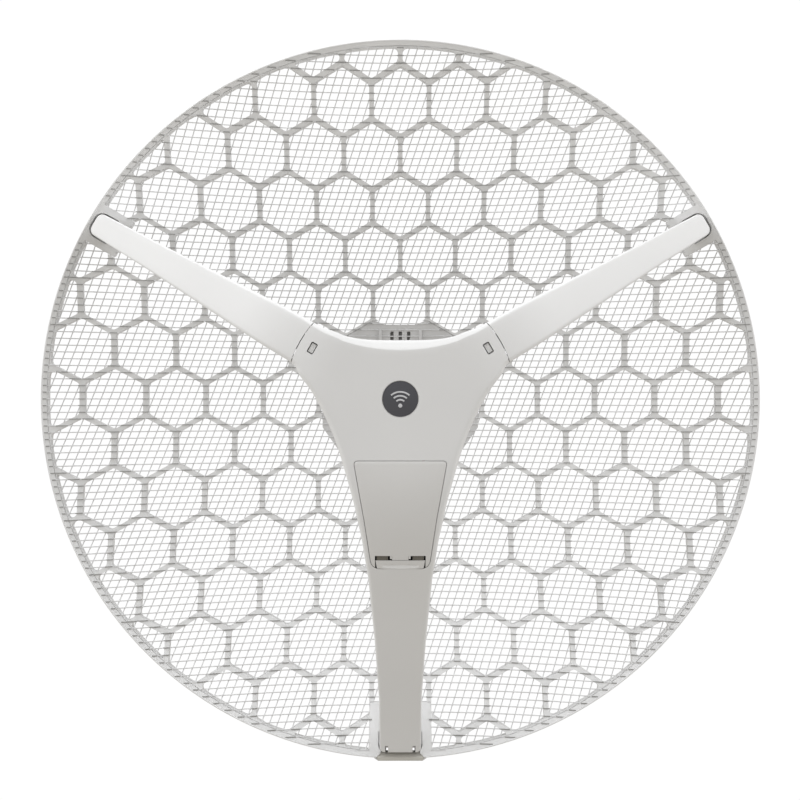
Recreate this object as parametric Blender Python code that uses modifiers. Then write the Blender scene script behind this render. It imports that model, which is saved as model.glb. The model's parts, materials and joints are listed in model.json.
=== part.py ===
"""Parabolic grid antenna: a perforated dish, a Y-shaped feed unit in front of it and a tilting pole clamp.

The mast runs along Z through the origin. The dish faces -Y. Metres throughout.
"""

from math import acos, asin, atan2, cos, degrees, hypot, pi, radians, sin, sqrt, tan

import bmesh
import bpy
from mathutils import Matrix, Vector

# ---------------------------------------------------------------- driving dimensions
GAP = 0.0003  # clearance between pieces that rest on each other

RIM_RADIUS = 0.274
FOCAL_LENGTH = 0.200
DISH_DEPTH = RIM_RADIUS**2 / (4 * FOCAL_LENGTH)
VERTEX_Y = -0.0728
RIM_Y = VERTEX_Y - DISH_DEPTH
RIM_BAND = 0.0040
RIM_BACK = 0.0105
RIM_SEGMENTS = 64
FOOT_DROP = 0.002  # the flat foot under the rim
FOOT_HALF = 0.017
FOOT_CHAMFER = 0.003

CELL_PITCH = 0.0448  # across the flats of one hexagon of the rib lattice
RIB_WIDTH = 0.0036
RIB_DEPTH = 0.0075
SHEET = 0.0008  # the wire cloth on the front of the ribs

HUB_RADIUS = 0.068
HUB_ANGLES = (19.5, 40.5, 70.0)  # corners of the hub plate, from the top, mirrored in both axes
HUB_DEPTH = 0.008
HUB_SLOTS = (-0.0069, 0.0, 0.0069)
HUB_RIB_X = 0.0165

PLATE_HEIGHT = 0.118  # front of the centre unit above the rim plane
FLAT_RADIUS = 0.050
BEND_RADIUS = 0.125
ARM_SLOPE = 0.639
CENTRE_DEPTH = 0.034
TIP_DEPTH = 0.022
WALL = 0.0024
SEAM_RADIUS = 0.079
SEAM_GAP = 0.0005
ARM_TIP = 0.2690
ARM_ANGLES = (30, 150)
ARM_WIDTHS = ((0.079, 0.0157), (0.104, 0.0152), (0.157, 0.0128), (0.206, 0.0106), (0.270, 0.0086))
LOWER_WIDTHS = (
    (0.034, 0.0424), (0.041, 0.0395), (0.0685, 0.0327), (0.0967, 0.0267), (0.1262, 0.0224),
    (0.1733, 0.0185), (0.2233, 0.0157), (0.270, 0.0157),
)
SIDE_SCOOP = ((0.0694, 0.0167), (0.0604, 0.0046), (0.0511, -0.0129), (0.0424, -0.0346))
TOP_SCOOP = ((0.0516, 0.0484), (0.0436, 0.0455), (0.0358, 0.0426), (0.0221, 0.0405))
FILLET = 0.0026
TIP_ROUND = 0.0054
LATCH_RADIUS = 0.0694
LATCH_WINDOW = (0.0048, 0.0080)

DOOR_TOP = -0.0424
DOOR_CORNERS = ((0.0319, DOOR_TOP), (0.0249, -0.0824), (0.0197, -0.1192))
DOOR_ROUND = (0.0022, 0, 0.0058)
DOOR_SLOTS = (0.0058, 0.0176, -0.1134, -0.1091)  # |x| from, to, then z from, to
DOOR_GAP = 0.0005
DOOR_THICK = 0.0022
LATCH_TOP = -0.1134
LATCH_HALF = 0.0160
LATCH_LOW = -0.1186
EMBLEM_RADIUS = 0.0122

BOARD_HEIGHT = 0.0984
BOARD = (0.052, 0.074, 0.0016)
BOARD_CENTRE = -0.003
BOARD_HOLES = ((0.0225, 0.0290), (0.0225, -0.0350))

SOCKET_INNER = {30: 0.247, 150: 0.247, 270: 0.236}
SOCKET_BASE = {30: -0.0255, 150: -0.0255, 270: -0.0290}
SOCKET_FLOOR = 0.0027
SOCKET_OUTER = 0.2720
SOCKET_WALL = 0.0055
FOOT_WALL = 0.0077  # beside the lower arm
SOCKET_PLAY = 0.0008
TIP_PLAY = 0.0012
FOOT_SCREW_R = 0.2515  # the screw that holds each arm in its socket
EXIT = (-0.0168, -0.0108)  # height span of the cable outlet behind the rim
EXIT_HALF = 0.0110

PIVOT = (-0.049, -0.008)  # y, z of the elevation pivot
LOCK_RADIUS = 0.022
TILT = 15
MAST_RADIUS = 0.025
SADDLE_HALF = 0.020
SADDLE_Y = (-0.031, -0.018)
SADDLE_Z = 0.044
CHEEK_X = (0.0120, 0.0150)
EAR_X = (0.0153, 0.0183)
BAND_Z = 0.034
BAND_WIDTH = 0.0125
BAND_THICK = 0.0008

# ---------------------------------------------------------------- scene and helpers
for old in list(bpy.data.objects):
    bpy.data.objects.remove(old, do_unlink=True)

PARTS = bpy.data.collections.new("parabolic_grid_antenna")
CUTTERS = bpy.data.collections.new("cutters")
for group in (PARTS, CUTTERS):
    bpy.context.scene.collection.children.link(group)

FACE = Matrix.Translation((0, RIM_Y, 0)) @ Matrix.Rotation(radians(90), 4, "X")


def material(name, colour, roughness=0.5, metallic=0.0):
    made = bpy.data.materials.new(name)
    made.use_nodes = True
    shader = made.node_tree.nodes["Principled BSDF"]
    shader.inputs["Base Color"].default_value = (*colour, 1)
    shader.inputs["Roughness"].default_value = roughness
    shader.inputs["Metallic"].default_value = metallic
    return made


WHITE = (0.78, 0.77, 0.75)
LIGHT = (0.62, 0.60, 0.57)
STEEL = (0.55, 0.55, 0.54)


def add(name, bm, look, matrix=FACE, origin=None, cutter=False):
    """One object from a bmesh, its origin moved to a point of the mesh's own frame."""
    bmesh.ops.recalc_face_normals(bm, faces=bm.faces[:])
    if origin is not None:
        bmesh.ops.translate(bm, verts=bm.verts[:], vec=-Vector(origin))
        matrix = matrix @ Matrix.Translation(origin)
    mesh = bpy.data.meshes.new(name)
    bm.to_mesh(mesh)
    bm.free()
    made = bpy.data.objects.new(name, mesh)
    made.matrix_world = matrix
    if cutter:
        CUTTERS.objects.link(made)
        made.hide_render = True
        made.display_type = "WIRE"
        return made
    PARTS.objects.link(made)
    mesh.materials.append(material(name, *look))
    mesh.shade_smooth()
    mesh.set_sharp_from_angle(angle=radians(32))
    return made


def boolean(target, name, bm, operation="DIFFERENCE", matrix=FACE):
    tool = add(name, bm, None, matrix, cutter=True)
    step = target.modifiers.new(name, "BOOLEAN")
    step.operation = operation
    step.solver = "EXACT"
    step.object = tool
    return tool


def solidify(target, thickness, offset=-1):
    step = target.modifiers.new("wall", "SOLIDIFY")
    step.thickness = thickness
    step.offset = offset
    step.use_even_offset = True
    step.use_quality_normals = True


def box(low, high, turn=0.0, bevel=0.0):
    """A box between two corners, turned about Z through the origin."""
    bm = bmesh.new()
    bmesh.ops.create_cube(bm, size=1)
    size = [b - a for a, b in zip(low, high)]
    middle = [(a + b) / 2 for a, b in zip(low, high)]
    placed = Matrix.Translation(middle) @ Matrix.Diagonal((*size, 1))
    bmesh.ops.transform(bm, matrix=placed, verts=bm.verts[:])
    if bevel:
        bmesh.ops.bevel(bm, geom=bm.edges[:], offset=bevel, segments=2, profile=0.5, affect="EDGES")
    bmesh.ops.rotate(bm, cent=(0, 0, 0), matrix=Matrix.Rotation(turn, 3, "Z"), verts=bm.verts[:])
    return bm


def rod(radius, start, end, sides=24):
    """A cylinder or prism from one point to another."""
    start, end = Vector(start), Vector(end)
    bm = bmesh.new()
    bmesh.ops.create_cone(
        bm, cap_ends=True, segments=sides, radius1=radius, radius2=radius, depth=(end - start).length)
    turn = (end - start).to_track_quat("Z", "Y").to_matrix().to_4x4()
    bmesh.ops.transform(bm, matrix=Matrix.Translation((start + end) / 2) @ turn, verts=bm.verts[:])
    return bm


def slab(outline, low, high):
    """A flat outline raised from one height to another."""
    bm = bmesh.new()
    face = bm.faces.new([bm.verts.new((x, y, low)) for x, y in outline])
    raised = bmesh.ops.extrude_face_region(bm, geom=[face], use_keep_orig=True)
    up = [v for v in raised["geom"] if isinstance(v, bmesh.types.BMVert)]
    bmesh.ops.translate(bm, verts=up, vec=(0, 0, high - low))
    return bm


def lathe(name, profile, look, segments=RIM_SEGMENTS, matrix=FACE):
    """A closed profile of (radius, height) turned about Z."""
    bm = bmesh.new()
    ring = [bm.verts.new((r, 0, z)) for r, z in profile]
    for a, b in zip(ring, ring[1:] + ring[:1]):
        bm.edges.new((a, b))
    made = add(name, bm, look, matrix)
    turn = made.modifiers.new("turn", "SCREW")
    turn.axis = "Z"
    turn.steps = turn.render_steps = segments
    turn.use_merge_vertices = True
    turn.merge_threshold = 0.00005
    turn.use_normal_calculate = True
    return made


# ---------------------------------------------------------------- the shapes' rules
def dish(r):
    """Height of the reflecting surface, from the rim plane."""
    return -DISH_DEPTH * (1 - (r / RIM_RADIUS) ** 2)


def front(r):
    """Height of the feed unit's front: flat, then a soft bend, then a straight slope."""
    if r <= FLAT_RADIUS:
        return PLATE_HEIGHT
    reach = min(r, BEND_RADIUS)
    drop = ARM_SLOPE * (reach - FLAT_RADIUS) ** 2 / (2 * (BEND_RADIUS - FLAT_RADIUS))
    return PLATE_HEIGHT - drop - ARM_SLOPE * max(0.0, r - BEND_RADIUS)


def depth(r):
    part = min(1.0, max(0.0, (r - SEAM_RADIUS) / (ARM_TIP - SEAM_RADIUS)))
    return CENTRE_DEPTH + (TIP_DEPTH - CENTRE_DEPTH) * part


def parting(r):
    return front(r) - 0.58 * depth(r)


def between(stations, at):
    """Straight-line reading of a short list of stations."""
    for (a, p), (b, q) in zip(stations, stations[1:]):
        if at <= b:
            return p + (q - p) * max(0.0, (at - a) / (b - a))
    return stations[-1][1]


def curve(points, steps=4):
    """A smooth curve through the points, from the second to the last but one."""
    made = []
    for a, b, c, d in zip(points, points[1:], points[2:], points[3:]):
        for i in range(steps):
            t = i / steps
            made.append(tuple(
                0.5 * (2 * q + (r - p) * t + (2 * p - 5 * q + 4 * r - s) * t * t
                       + (3 * q - p - 3 * r + s) * t**3)
                for p, q, r, s in zip(a, b, c, d)
            ))
    return made + [points[-2]]


def rounded(points, radius, steps=4):
    """An outline with its corners rounded; radius is one number or one for each corner."""
    made = []
    count = len(points)
    radii = radius if isinstance(radius, (list, tuple)) else [radius] * count
    for i, corner in enumerate(points):
        here = Vector(corner)
        before = (Vector(points[i - 1]) - here).normalized()
        after = (Vector(points[(i + 1) % count]) - here).normalized()
        r = radii[i]
        if r <= 0:
            made.append(tuple(here))
            continue
        half = before.angle(after) / 2
        reach = r / tan(half)
        centre = here + (before + after).normalized() * (r / sin(half))
        p, q = here + before * reach - centre, here + after * reach - centre
        start = atan2(p.y, p.x)
        sweep = (atan2(q.y, q.x) - start + pi) % (2 * pi) - pi
        for k in range(steps + 1):
            angle = start + sweep * k / steps
            made.append((centre.x + r * cos(angle), centre.y + r * sin(angle)))
    return made


def hull(points):
    """Convex outline of the points."""
    points = sorted(set(points))
    halves = []
    for order in (points, points[::-1]):
        half = []
        for p in order:
            while len(half) > 1 and (
                (half[-1][0] - half[-2][0]) * (p[1] - half[-2][1])
                - (half[-1][1] - half[-2][1]) * (p[0] - half[-2][0])
            ) <= 1e-12:
                half.pop()
            half.append(p)
        halves += half[:-1]
    return halves


def circle(x, y, radius, count=20, start=0.0):
    return [(x + radius * cos(start + 2 * pi * i / count), y + radius * sin(start + 2 * pi * i / count))
            for i in range(count)]


def polar(radius, angle):
    return radius * cos(radians(angle)), radius * sin(radians(angle))


def widened(outline, amount):
    """The outline moved outwards by an even amount."""
    turn = sum(a[0] * b[1] - b[0] * a[1] for a, b in zip(outline, outline[1:] + outline[:1]))
    sign = 1 if turn > 0 else -1
    moved = []
    for before, here, after in zip(outline[-1:] + outline[:-1], outline, outline[1:] + outline[:1]):
        one = Vector((here[1] - before[1], before[0] - here[0])).normalized() * sign
        two = Vector((after[1] - here[1], here[0] - after[0])).normalized() * sign
        both = (one + two).normalized()
        reach = amount / both.dot(one)
        moved.append((here[0] + both.x * reach, here[1] + both.y * reach))
    return moved


def cuts_along(angle, start, end, step):
    direction = Vector((*polar(1, angle), 0))
    count = int((end - start) / step) + 1
    return [(direction * (start + step * i), direction) for i in range(count)]


def skin(outline, height, cuts, fillet=0.0, base=None):
    """An open shell: the outline with a rounded edge, raised to a height, and walls down to a base."""
    bm = bmesh.new()
    drop = bm.verts.layers.float.new("drop")
    face = bm.faces.new([bm.verts.new((x, y, 0)) for x, y in outline])
    for v in bm.verts:
        v[drop] = fillet
    done = 0.0
    for angle in (45, 90) if fillet else ():
        step = fillet * (1 - cos(radians(angle)))
        bmesh.ops.inset_region(bm, faces=[face], thickness=step - done, use_even_offset=True)
        done = step
        for v in face.verts:
            v[drop] = fillet * (1 - sin(radians(angle)))
    for point, normal in cuts:
        bmesh.ops.bisect_plane(
            bm, geom=bm.verts[:] + bm.edges[:] + bm.faces[:], plane_co=point, plane_no=normal, dist=1e-5)
    for v in bm.verts:
        v.co.z = height(hypot(v.co.x, v.co.y)) - v[drop]
    bmesh.ops.triangulate(bm, faces=bm.faces[:])
    if base:
        rim = [e for e in bm.edges if e.is_boundary]
        made = bmesh.ops.extrude_edge_only(bm, edges=rim)["geom"]
        for v in made:
            if isinstance(v, bmesh.types.BMVert):
                v.co.z = base(hypot(v.co.x, v.co.y))
    return bm


def plate(outline, top, thickness, cuts):
    """A panel that follows a height rule, with straight edges."""
    bm = skin(outline, top, cuts)
    faces = bm.faces[:]
    made = bmesh.ops.extrude_face_region(bm, geom=faces, use_keep_orig=True)["geom"]
    bmesh.ops.translate(
        bm, verts=[v for v in made if isinstance(v, bmesh.types.BMVert)], vec=(0, 0, -thickness))
    return bm


# ---------------------------------------------------------------- reflector
def hub_outline(radius):
    angles = [90 - a for a in HUB_ANGLES[::-1]] + [90 + a for a in HUB_ANGLES]
    angles += [a + 180 for a in angles]
    return [polar(radius, a) for a in angles]


def socket_bore(angle):
    reach = between(LOWER_WIDTHS, 0.255) if angle == 270 else between(ARM_WIDTHS, 0.245)
    return reach + SOCKET_PLAY


def socket_half(angle):
    return socket_bore(angle) + (FOOT_WALL if angle == 270 else SOCKET_WALL)


def socket_block(angle):
    """A block under the rim whose front lies in the dish's surface."""
    half = socket_half(angle)
    inner = SOCKET_INNER[angle]
    bm = box((inner, -half, 0.0), (SOCKET_OUTER, half, 1.0))
    for v in bm.verts:
        v.co.z = dish(v.co.x) - SHEET if v.co.z > 0.5 else SOCKET_BASE[angle]
    bmesh.ops.rotate(bm, cent=(0, 0, 0), matrix=Matrix.Rotation(radians(angle), 3, "Z"), verts=bm.verts[:])
    return bm


SOCKETS = (*ARM_ANGLES, 270)

rim_section = rounded(
    [(RIM_RADIUS - 0.0010, 0), (RIM_RADIUS, -0.0010), (RIM_RADIUS, -0.0085), (RIM_RADIUS - 0.0022, -RIM_BACK),
     (RIM_RADIUS - RIM_BAND, -RIM_BACK), (RIM_RADIUS - RIM_BAND, -0.0022), (RIM_RADIUS - 0.0020, 0)],
    [0] * 7, 1)
rim = lathe("reflector_rim", rim_section, (LIGHT, 0.5))
for angle in SOCKETS:
    turn = radians(angle)
    boolean(rim, f"socket_block_{angle}", socket_block(angle), "UNION")
    bore = socket_bore(angle)
    hollow_low = (SOCKET_INNER[angle] - 0.01, -bore, SOCKET_BASE[angle] + SOCKET_FLOOR)
    boolean(rim, f"socket_hollow_{angle}", box(hollow_low, (ARM_TIP + TIP_PLAY, bore, 0.02), turn))
    screw_at = polar(FOOT_SCREW_R, angle)
    boolean(rim, f"socket_hole_{angle}", rod(0.0021, (*screw_at, -0.035), (*screw_at, 0)))
foot = [(-FOOT_HALF - FOOT_CHAMFER, 0.0), (-FOOT_HALF, -FOOT_DROP), (FOOT_HALF, -FOOT_DROP),
        (FOOT_HALF + FOOT_CHAMFER, 0.0), (FOOT_HALF, 0.004), (-FOOT_HALF, 0.004)]
boolean(rim, "foot_block", slab([(x, y - RIM_RADIUS) for x, y in foot], -0.0088, -0.0012), "UNION")

socket_floor = SOCKET_BASE[270] + SOCKET_FLOOR
boolean(rim, "cable_outlet", box((-EXIT_HALF, -0.29, socket_floor), (EXIT_HALF, -0.2690, EXIT[1])))


def clear_of_sockets(target, name):
    for angle in SOCKETS:
        half = socket_half(angle) + GAP
        boolean(target, f"{name}_{angle}",
                box((SOCKET_INNER[angle] - GAP, -half, -0.06), (0.30, half, 0.03), radians(angle)))


def lattice():
    """Hexagonal cells about the axis, cut off at the rim and around the hub, as a flat web."""
    bm = bmesh.new()
    corner = CELL_PITCH / sqrt(3)
    reach = int(RIM_RADIUS / CELL_PITCH) + 2
    seen = {}

    def vertex(x, y):
        key = (round(x, 5), round(y, 5))
        if key not in seen:
            seen[key] = bm.verts.new((x, y, 0))
        return seen[key]

    for row in range(-reach - 2, reach + 3):
        for column in range(-reach - 1, reach + 2):
            x = CELL_PITCH * (column + 0.5 * (row % 2))
            y = row * corner * 1.5
            corners = [(x + corner * sin(pi / 3 * k), y - corner * cos(pi / 3 * k)) for k in range(6)]
            bm.faces.new([vertex(*at) for at in corners])
    edge = RIM_RADIUS - RIM_BAND - 2 * GAP
    sides = 48
    for k in range(sides):
        normal = Vector((*polar(1, 360 * k / sides), 0))
        bmesh.ops.bisect_plane(
            bm, geom=bm.verts[:] + bm.edges[:] + bm.faces[:], plane_co=normal * edge * cos(pi / sides),
            plane_no=normal, clear_outer=True, dist=1e-6)
    loose = [v for v in bm.verts if len(v.link_edges) == 2 and not v.is_boundary]
    bmesh.ops.dissolve_limit(bm, angle_limit=radians(1), verts=loose, edges=[])
    whole = [f for f in bm.faces if f.calc_area() >= 3.5e-5]
    bmesh.ops.inset_individual(bm, faces=whole, thickness=RIB_WIDTH / 2, use_even_offset=True)
    bmesh.ops.delete(bm, geom=whole, context="FACES")
    for v in bm.verts:
        v.co.z = dish(hypot(v.co.x, v.co.y)) - SHEET - 2 * GAP
    made = bmesh.ops.extrude_face_region(bm, geom=bm.faces[:], use_keep_orig=True)["geom"]
    bmesh.ops.translate(
        bm, verts=[v for v in made if isinstance(v, bmesh.types.BMVert)], vec=(0, 0, -RIB_DEPTH))
    return bm


ribs = add("reflector_ribs", lattice(), (LIGHT, 0.55))
hub_clear = [tuple(p) for p in hub_outline(HUB_RADIUS + GAP)]
boolean(ribs, "ribs_hub_cut", slab(hub_clear, -0.13, 0.0))
clear_of_sockets(ribs, "ribs_socket_cut")

sheet_edge = RIM_RADIUS - RIM_BAND - GAP
radii = [0.045 + (sheet_edge - 0.045) * i / 5 for i in range(6)]
sheet_section = [(r, dish(r)) for r in radii] + [(r, dish(r) - SHEET) for r in radii[::-1]]
sheet = lathe("reflector_mesh", sheet_section, (LIGHT, 0.6))
boolean(sheet, "sheet_hub_cut", slab(hub_clear, -0.13, 0.0))
clear_of_sockets(sheet, "sheet_socket_cut")

hub = add("reflector_hub", plate(
    hub_outline(HUB_RADIUS), dish, HUB_DEPTH,
    [(Vector((0, 0.02 * k, 0)), Vector((0, 1, 0))) for k in range(-2, 3)]
    + [(Vector((0.02 * k, 0, 0)), Vector((1, 0, 0))) for k in range(-2, 3)]), (LIGHT, 0.5))
for sign in (-1, 1):
    boolean(hub, f"hub_rib_{sign}",
            box((sign * HUB_RIB_X - 0.0012, 0.034, -0.094),
                (sign * HUB_RIB_X + 0.0012, 0.057, -0.0865)), "UNION")
for k, x in enumerate(HUB_SLOTS):
    boolean(hub, f"hub_slot_{k}", box((x - 0.0014, 0.0485, -0.13), (x + 0.0014, 0.0555, -0.05)))
boolean(hub, "hub_back_trim", box((-0.1, -0.1, -0.14), (0.1, 0.1, -DISH_DEPTH - HUB_DEPTH + 0.0003)))
boolean(hub, "hub_pad",
        box((-0.026, -0.030, -DISH_DEPTH - HUB_DEPTH), (0.026, 0.036, -DISH_DEPTH - 0.004)), "UNION")
HUB_SCREWS = [(sx * 0.0225, z) for sx in (-1, 1) for z in (-0.020, 0.026)]
for k, (x, z) in enumerate(HUB_SCREWS):
    boolean(hub, f"hub_pilot_{k}", rod(0.0021, (x, z, -0.12), (x, z, -DISH_DEPTH - 0.0028), 16))


# ---------------------------------------------------------------- feed unit shells
def arm_half(r):
    return between(ARM_WIDTHS, r)


def arm_outline(angle, root=SEAM_RADIUS + SEAM_GAP):
    spread = degrees(asin(arm_half(root) / root))
    arc = [polar(root, spread - 2 * spread * i / 4) for i in range(5)]
    tip = arm_half(ARM_TIP)
    stations = [0.104, 0.157, 0.206, 0.235]
    lower = [(r, -arm_half(r)) for r in stations]
    corners = [q for q in rounded(
        [(0.235, -arm_half(0.235)), (ARM_TIP, -tip), (ARM_TIP, tip), (0.235, arm_half(0.235))],
        [0, TIP_ROUND, TIP_ROUND, 0], 4)]
    upper = [(r, arm_half(r)) for r in stations[::-1]]
    points = arc + lower[:-1] + corners + upper[1:]
    turn = radians(angle)
    return [(x * cos(turn) - y * sin(turn), x * sin(turn) + y * cos(turn)) for x, y in points]


def body_outline():
    """Centre and lower arm, right half from the tip up, then mirrored."""
    tip = between(LOWER_WIDTHS, ARM_TIP)
    right = rounded([(0, -ARM_TIP), (tip, -ARM_TIP), (tip, -0.235)], [0, TIP_ROUND, 0], 3)[1:-1]
    right += [(between(LOWER_WIDTHS, r), -r) for r in (0.2233, 0.1733, 0.149, 0.1262)]
    spread = degrees(asin(arm_half(SEAM_RADIUS) / SEAM_RADIUS))
    low, high = polar(SEAM_RADIUS, 30 - spread), polar(SEAM_RADIUS, 30 + spread)
    side = [(between(LOWER_WIDTHS, r), -r) for r in (0.111, 0.0967, 0.0685)] + list(SIDE_SCOOP[::-1])
    outward = (low[0] * 2 - side[-1][0], low[1] * 2 - side[-1][1])
    right += curve(side + [low, outward], 2)
    right += [polar(SEAM_RADIUS, 30 - spread + 2 * spread * i / 4) for i in range(1, 4)]
    scoop = list(TOP_SCOOP)
    right += curve([(0.068, 0.058), high, *scoop, (-scoop[-1][0], scoop[-1][1])], 2)
    left = [(-x, y) for x, y in right[::-1]]
    return right + left


def height_cuts():
    cuts = cuts_along(270, 0.050, 0.126, 0.0150) + cuts_along(270, 0.175, 0.24, 0.050)
    for angle in ARM_ANGLES:
        cuts += cuts_along(angle, 0.050, 0.075, 0.0120)
    return cuts


BODY = body_outline()
housing = add("main_housing", skin(BODY, front, height_cuts(), FILLET, parting), (WHITE, 0.42))
solidify(housing, WALL)

cover = add("rear_cover", skin(BODY, lambda r: front(r) - depth(r), height_cuts(), 0,
                              lambda r: parting(r) - GAP), (WHITE, 0.45))
solidify(cover, 0.0020)

ARMS = {}
for angle, side in zip(ARM_ANGLES, ("right", "left")):
    arm_cuts = cuts_along(angle, 0.091, 0.121, 0.010) + cuts_along(angle, 0.14, 0.25, 0.036)
    arm_skin = skin(arm_outline(angle), front, arm_cuts, FILLET, lambda r: front(r) - depth(r))
    arm = add(f"side_arm_{side}", arm_skin, (WHITE, 0.42))
    solidify(arm, WALL)
    ARMS[side] = arm
    turn = radians(angle)
    drop = front(0.079)
    tongue = box((0.0640, -0.0060, drop - 0.0068), (0.0835, 0.0060, drop - 0.0042), turn)
    boolean(arm, f"tongue_{side}", tongue, "UNION")
    boolean(arm, f"latch_nib_{side}",
            box((LATCH_RADIUS - 0.0018, -0.0033, drop - 0.0060),
                (LATCH_RADIUS + 0.0018, 0.0033, front(LATCH_RADIUS) - 0.0012), turn), "UNION")
    screw_at = polar(FOOT_SCREW_R, angle)
    screw_top = front(FOOT_SCREW_R + 0.0042)
    foot_low = front(FOOT_SCREW_R) - depth(FOOT_SCREW_R) + 0.0030
    boss = rod(0.0042, (*screw_at, foot_low), (*screw_at, screw_top - 0.0012), 20)
    boolean(arm, f"arm_boss_{side}", boss, "UNION")
    pilot = rod(0.0016, (*screw_at, foot_low - 0.01), (*screw_at, screw_top - 0.0046), 16)
    boolean(arm, f"arm_pilot_{side}", pilot)
    boolean(housing, f"window_{side}", box(
        (LATCH_RADIUS - LATCH_WINDOW[0] / 2, -LATCH_WINDOW[1] / 2, drop - 0.02),
        (LATCH_RADIUS + LATCH_WINDOW[0] / 2, LATCH_WINDOW[1] / 2, 0.14), turn))
    boolean(housing, f"tongue_slot_{side}", box(
        (0.0740, -0.0063, drop - 0.0071), (0.0840, 0.0063, drop - 0.0039), turn))

door_left = [(-x, z) for x, z in DOOR_CORNERS[::-1]]
DOOR = rounded([*DOOR_CORNERS, *door_left], [*DOOR_ROUND, *DOOR_ROUND[::-1]], 3)[::-1]
opening = widened(DOOR, DOOR_GAP)
boolean(housing, "door_opening", slab(opening, 0.03, 0.14))
pocket_floor = (0, 0, PLATE_HEIGHT - 0.0008)
boolean(housing, "emblem_pocket", rod(EMBLEM_RADIUS + 0.0004, pocket_floor, (0, 0, PLATE_HEIGHT + 0.01), 40))

# bosses for the board, for the rear cover and for the foot of the lower arm
BOARD_SCREWS = [(sx * x, z) for sx in (-1, 1) for x, z in BOARD_HOLES]
COVER_SCREWS = [(0.0, -0.150), (0.0, -0.205), (-0.0385, 0.0130), (0.0385, 0.0130)]
for k, (x, z) in enumerate(BOARD_SCREWS):
    top = PLATE_HEIGHT - 0.0012
    boolean(housing, f"board_boss_{k}",
            rod(0.0030, (x, z, BOARD_HEIGHT + BOARD[2] + GAP), (x, z, top), 10), "UNION")
    boolean(housing, f"board_pilot_{k}", rod(0.0014, (x, z, 0.09), (x, z, PLATE_HEIGHT - 0.006), 8))
for k, (x, z) in enumerate(COVER_SCREWS):
    r = hypot(x, z)
    low = front(r) - depth(r) + (0.0024 if r < SEAM_RADIUS else 0.0047)
    boss = rod(0.0034, (x, z, low), (x, z, front(r + 0.0034) - 0.0012), 10)
    boolean(housing, f"cover_boss_{k}", boss, "UNION")
    boolean(housing, f"cover_pilot_{k}", rod(0.0014, (x, z, low - 0.01), (x, z, front(r) - 0.0055), 8))
    boolean(cover, f"cover_hole_{k}", rod(0.0017, (x, z, low - 0.03), (x, z, low + 0.012), 8))
foot_z = -FOOT_SCREW_R
foot_top = front(FOOT_SCREW_R + 0.0042)
foot_low = front(FOOT_SCREW_R) - depth(FOOT_SCREW_R)
foot_boss = rod(0.0040, (0, foot_z, foot_low + 0.0050), (0, foot_z, foot_top - 0.0012), 16)
boolean(housing, "foot_boss", foot_boss, "UNION")
boolean(housing, "foot_pilot", rod(0.0016, (0, foot_z, foot_low - 0.01), (0, foot_z, foot_top - 0.0046), 16))
boolean(cover, "foot_hole", rod(0.0021, (0, foot_z, foot_low - 0.02), (0, foot_z, foot_low + 0.02), 16))
boolean(cover, "cable_exit", box((-EXIT_HALF, -0.28, EXIT[0]), (EXIT_HALF, -0.2662, 0.0)))
for k, x in enumerate((-0.0104, 0.0104)):
    boolean(housing, f"end_notch_{k}", box((x - 0.0009, -0.2735, -0.02), (x + 0.0009, -0.2643, 0.02)))

# ---------------------------------------------------------------- cable door and its latch
door_cuts = cuts_along(270, 0.050, 0.112, 0.0103)
hinge = (0, DOOR_TOP - 0.0008, front(abs(DOOR_TOP)) - 0.0002)
door = add("cable_door", plate(DOOR, front, DOOR_THICK, door_cuts), (WHITE, 0.42), origin=hinge)
latch_room = box((-LATCH_HALF - GAP, -0.14, 0.0), (LATCH_HALF + GAP, LATCH_TOP + GAP, 0.2))
boolean(door, "door_latch_cut", latch_room)
for k, sign in enumerate((-1, 1)):
    low_x, high_x = sorted((sign * DOOR_SLOTS[0], sign * DOOR_SLOTS[1]))
    boolean(door, f"door_slot_{k}", box((low_x, DOOR_SLOTS[2], 0.0), (high_x, DOOR_SLOTS[3], 0.2)))

latch_right = [
    (LATCH_HALF - 0.0036, LATCH_LOW), (LATCH_HALF - 0.0008, LATCH_LOW + 0.0022), (LATCH_HALF, LATCH_TOP),
]
latch_outline = [(-x, z) for x, z in latch_right[::-1]] + latch_right
latch_plate = plate(
    latch_outline, lambda r: front(r) - 0.0003, DOOR_THICK - 0.0003, cuts_along(270, 0.1160, 0.1162, 0.0103))
add("door_latch", latch_plate, (WHITE, 0.42), origin=(0, LATCH_TOP, front(abs(LATCH_TOP)) - 0.0013))

emblem_disc = rod(EMBLEM_RADIUS, (0, 0, PLATE_HEIGHT - 0.0005), (0, 0, PLATE_HEIGHT), 40)
add("front_emblem", emblem_disc, ((0.075, 0.075, 0.085), 0.5))

# ---------------------------------------------------------------- electronics
board_low = (-BOARD[0] / 2, BOARD_CENTRE - BOARD[1] / 2)
board_high = (BOARD[0] / 2, BOARD_CENTRE + BOARD[1] / 2)
top = BOARD_HEIGHT + BOARD[2]
board = add("main_board", box((*board_low, BOARD_HEIGHT), (*board_high, top)), ((0.02, 0.13, 0.06), 0.5))
for k, (x, z) in enumerate(BOARD_SCREWS):
    boolean(board, f"board_hole_{k}", rod(0.0014, (x, z, 0.09), (x, z, 0.11), 12))
boolean(board, "board_post_hole", rod(0.0019, (0, 0, 0.09), (0, 0, 0.11), 16))

jack_z = board_low[1] - 0.0015
jack = add("rj45_jack", box((-0.008, jack_z, top + GAP), (0.008, jack_z + 0.0210, top + GAP + 0.0130)),
           (STEEL, 0.35, 0.9))
plug_room = box((-0.0059, jack_z - 0.01, top + 0.0025), (0.0059, jack_z + 0.0140, top + 0.0105))
boolean(jack, "jack_socket", plug_room)

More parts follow.
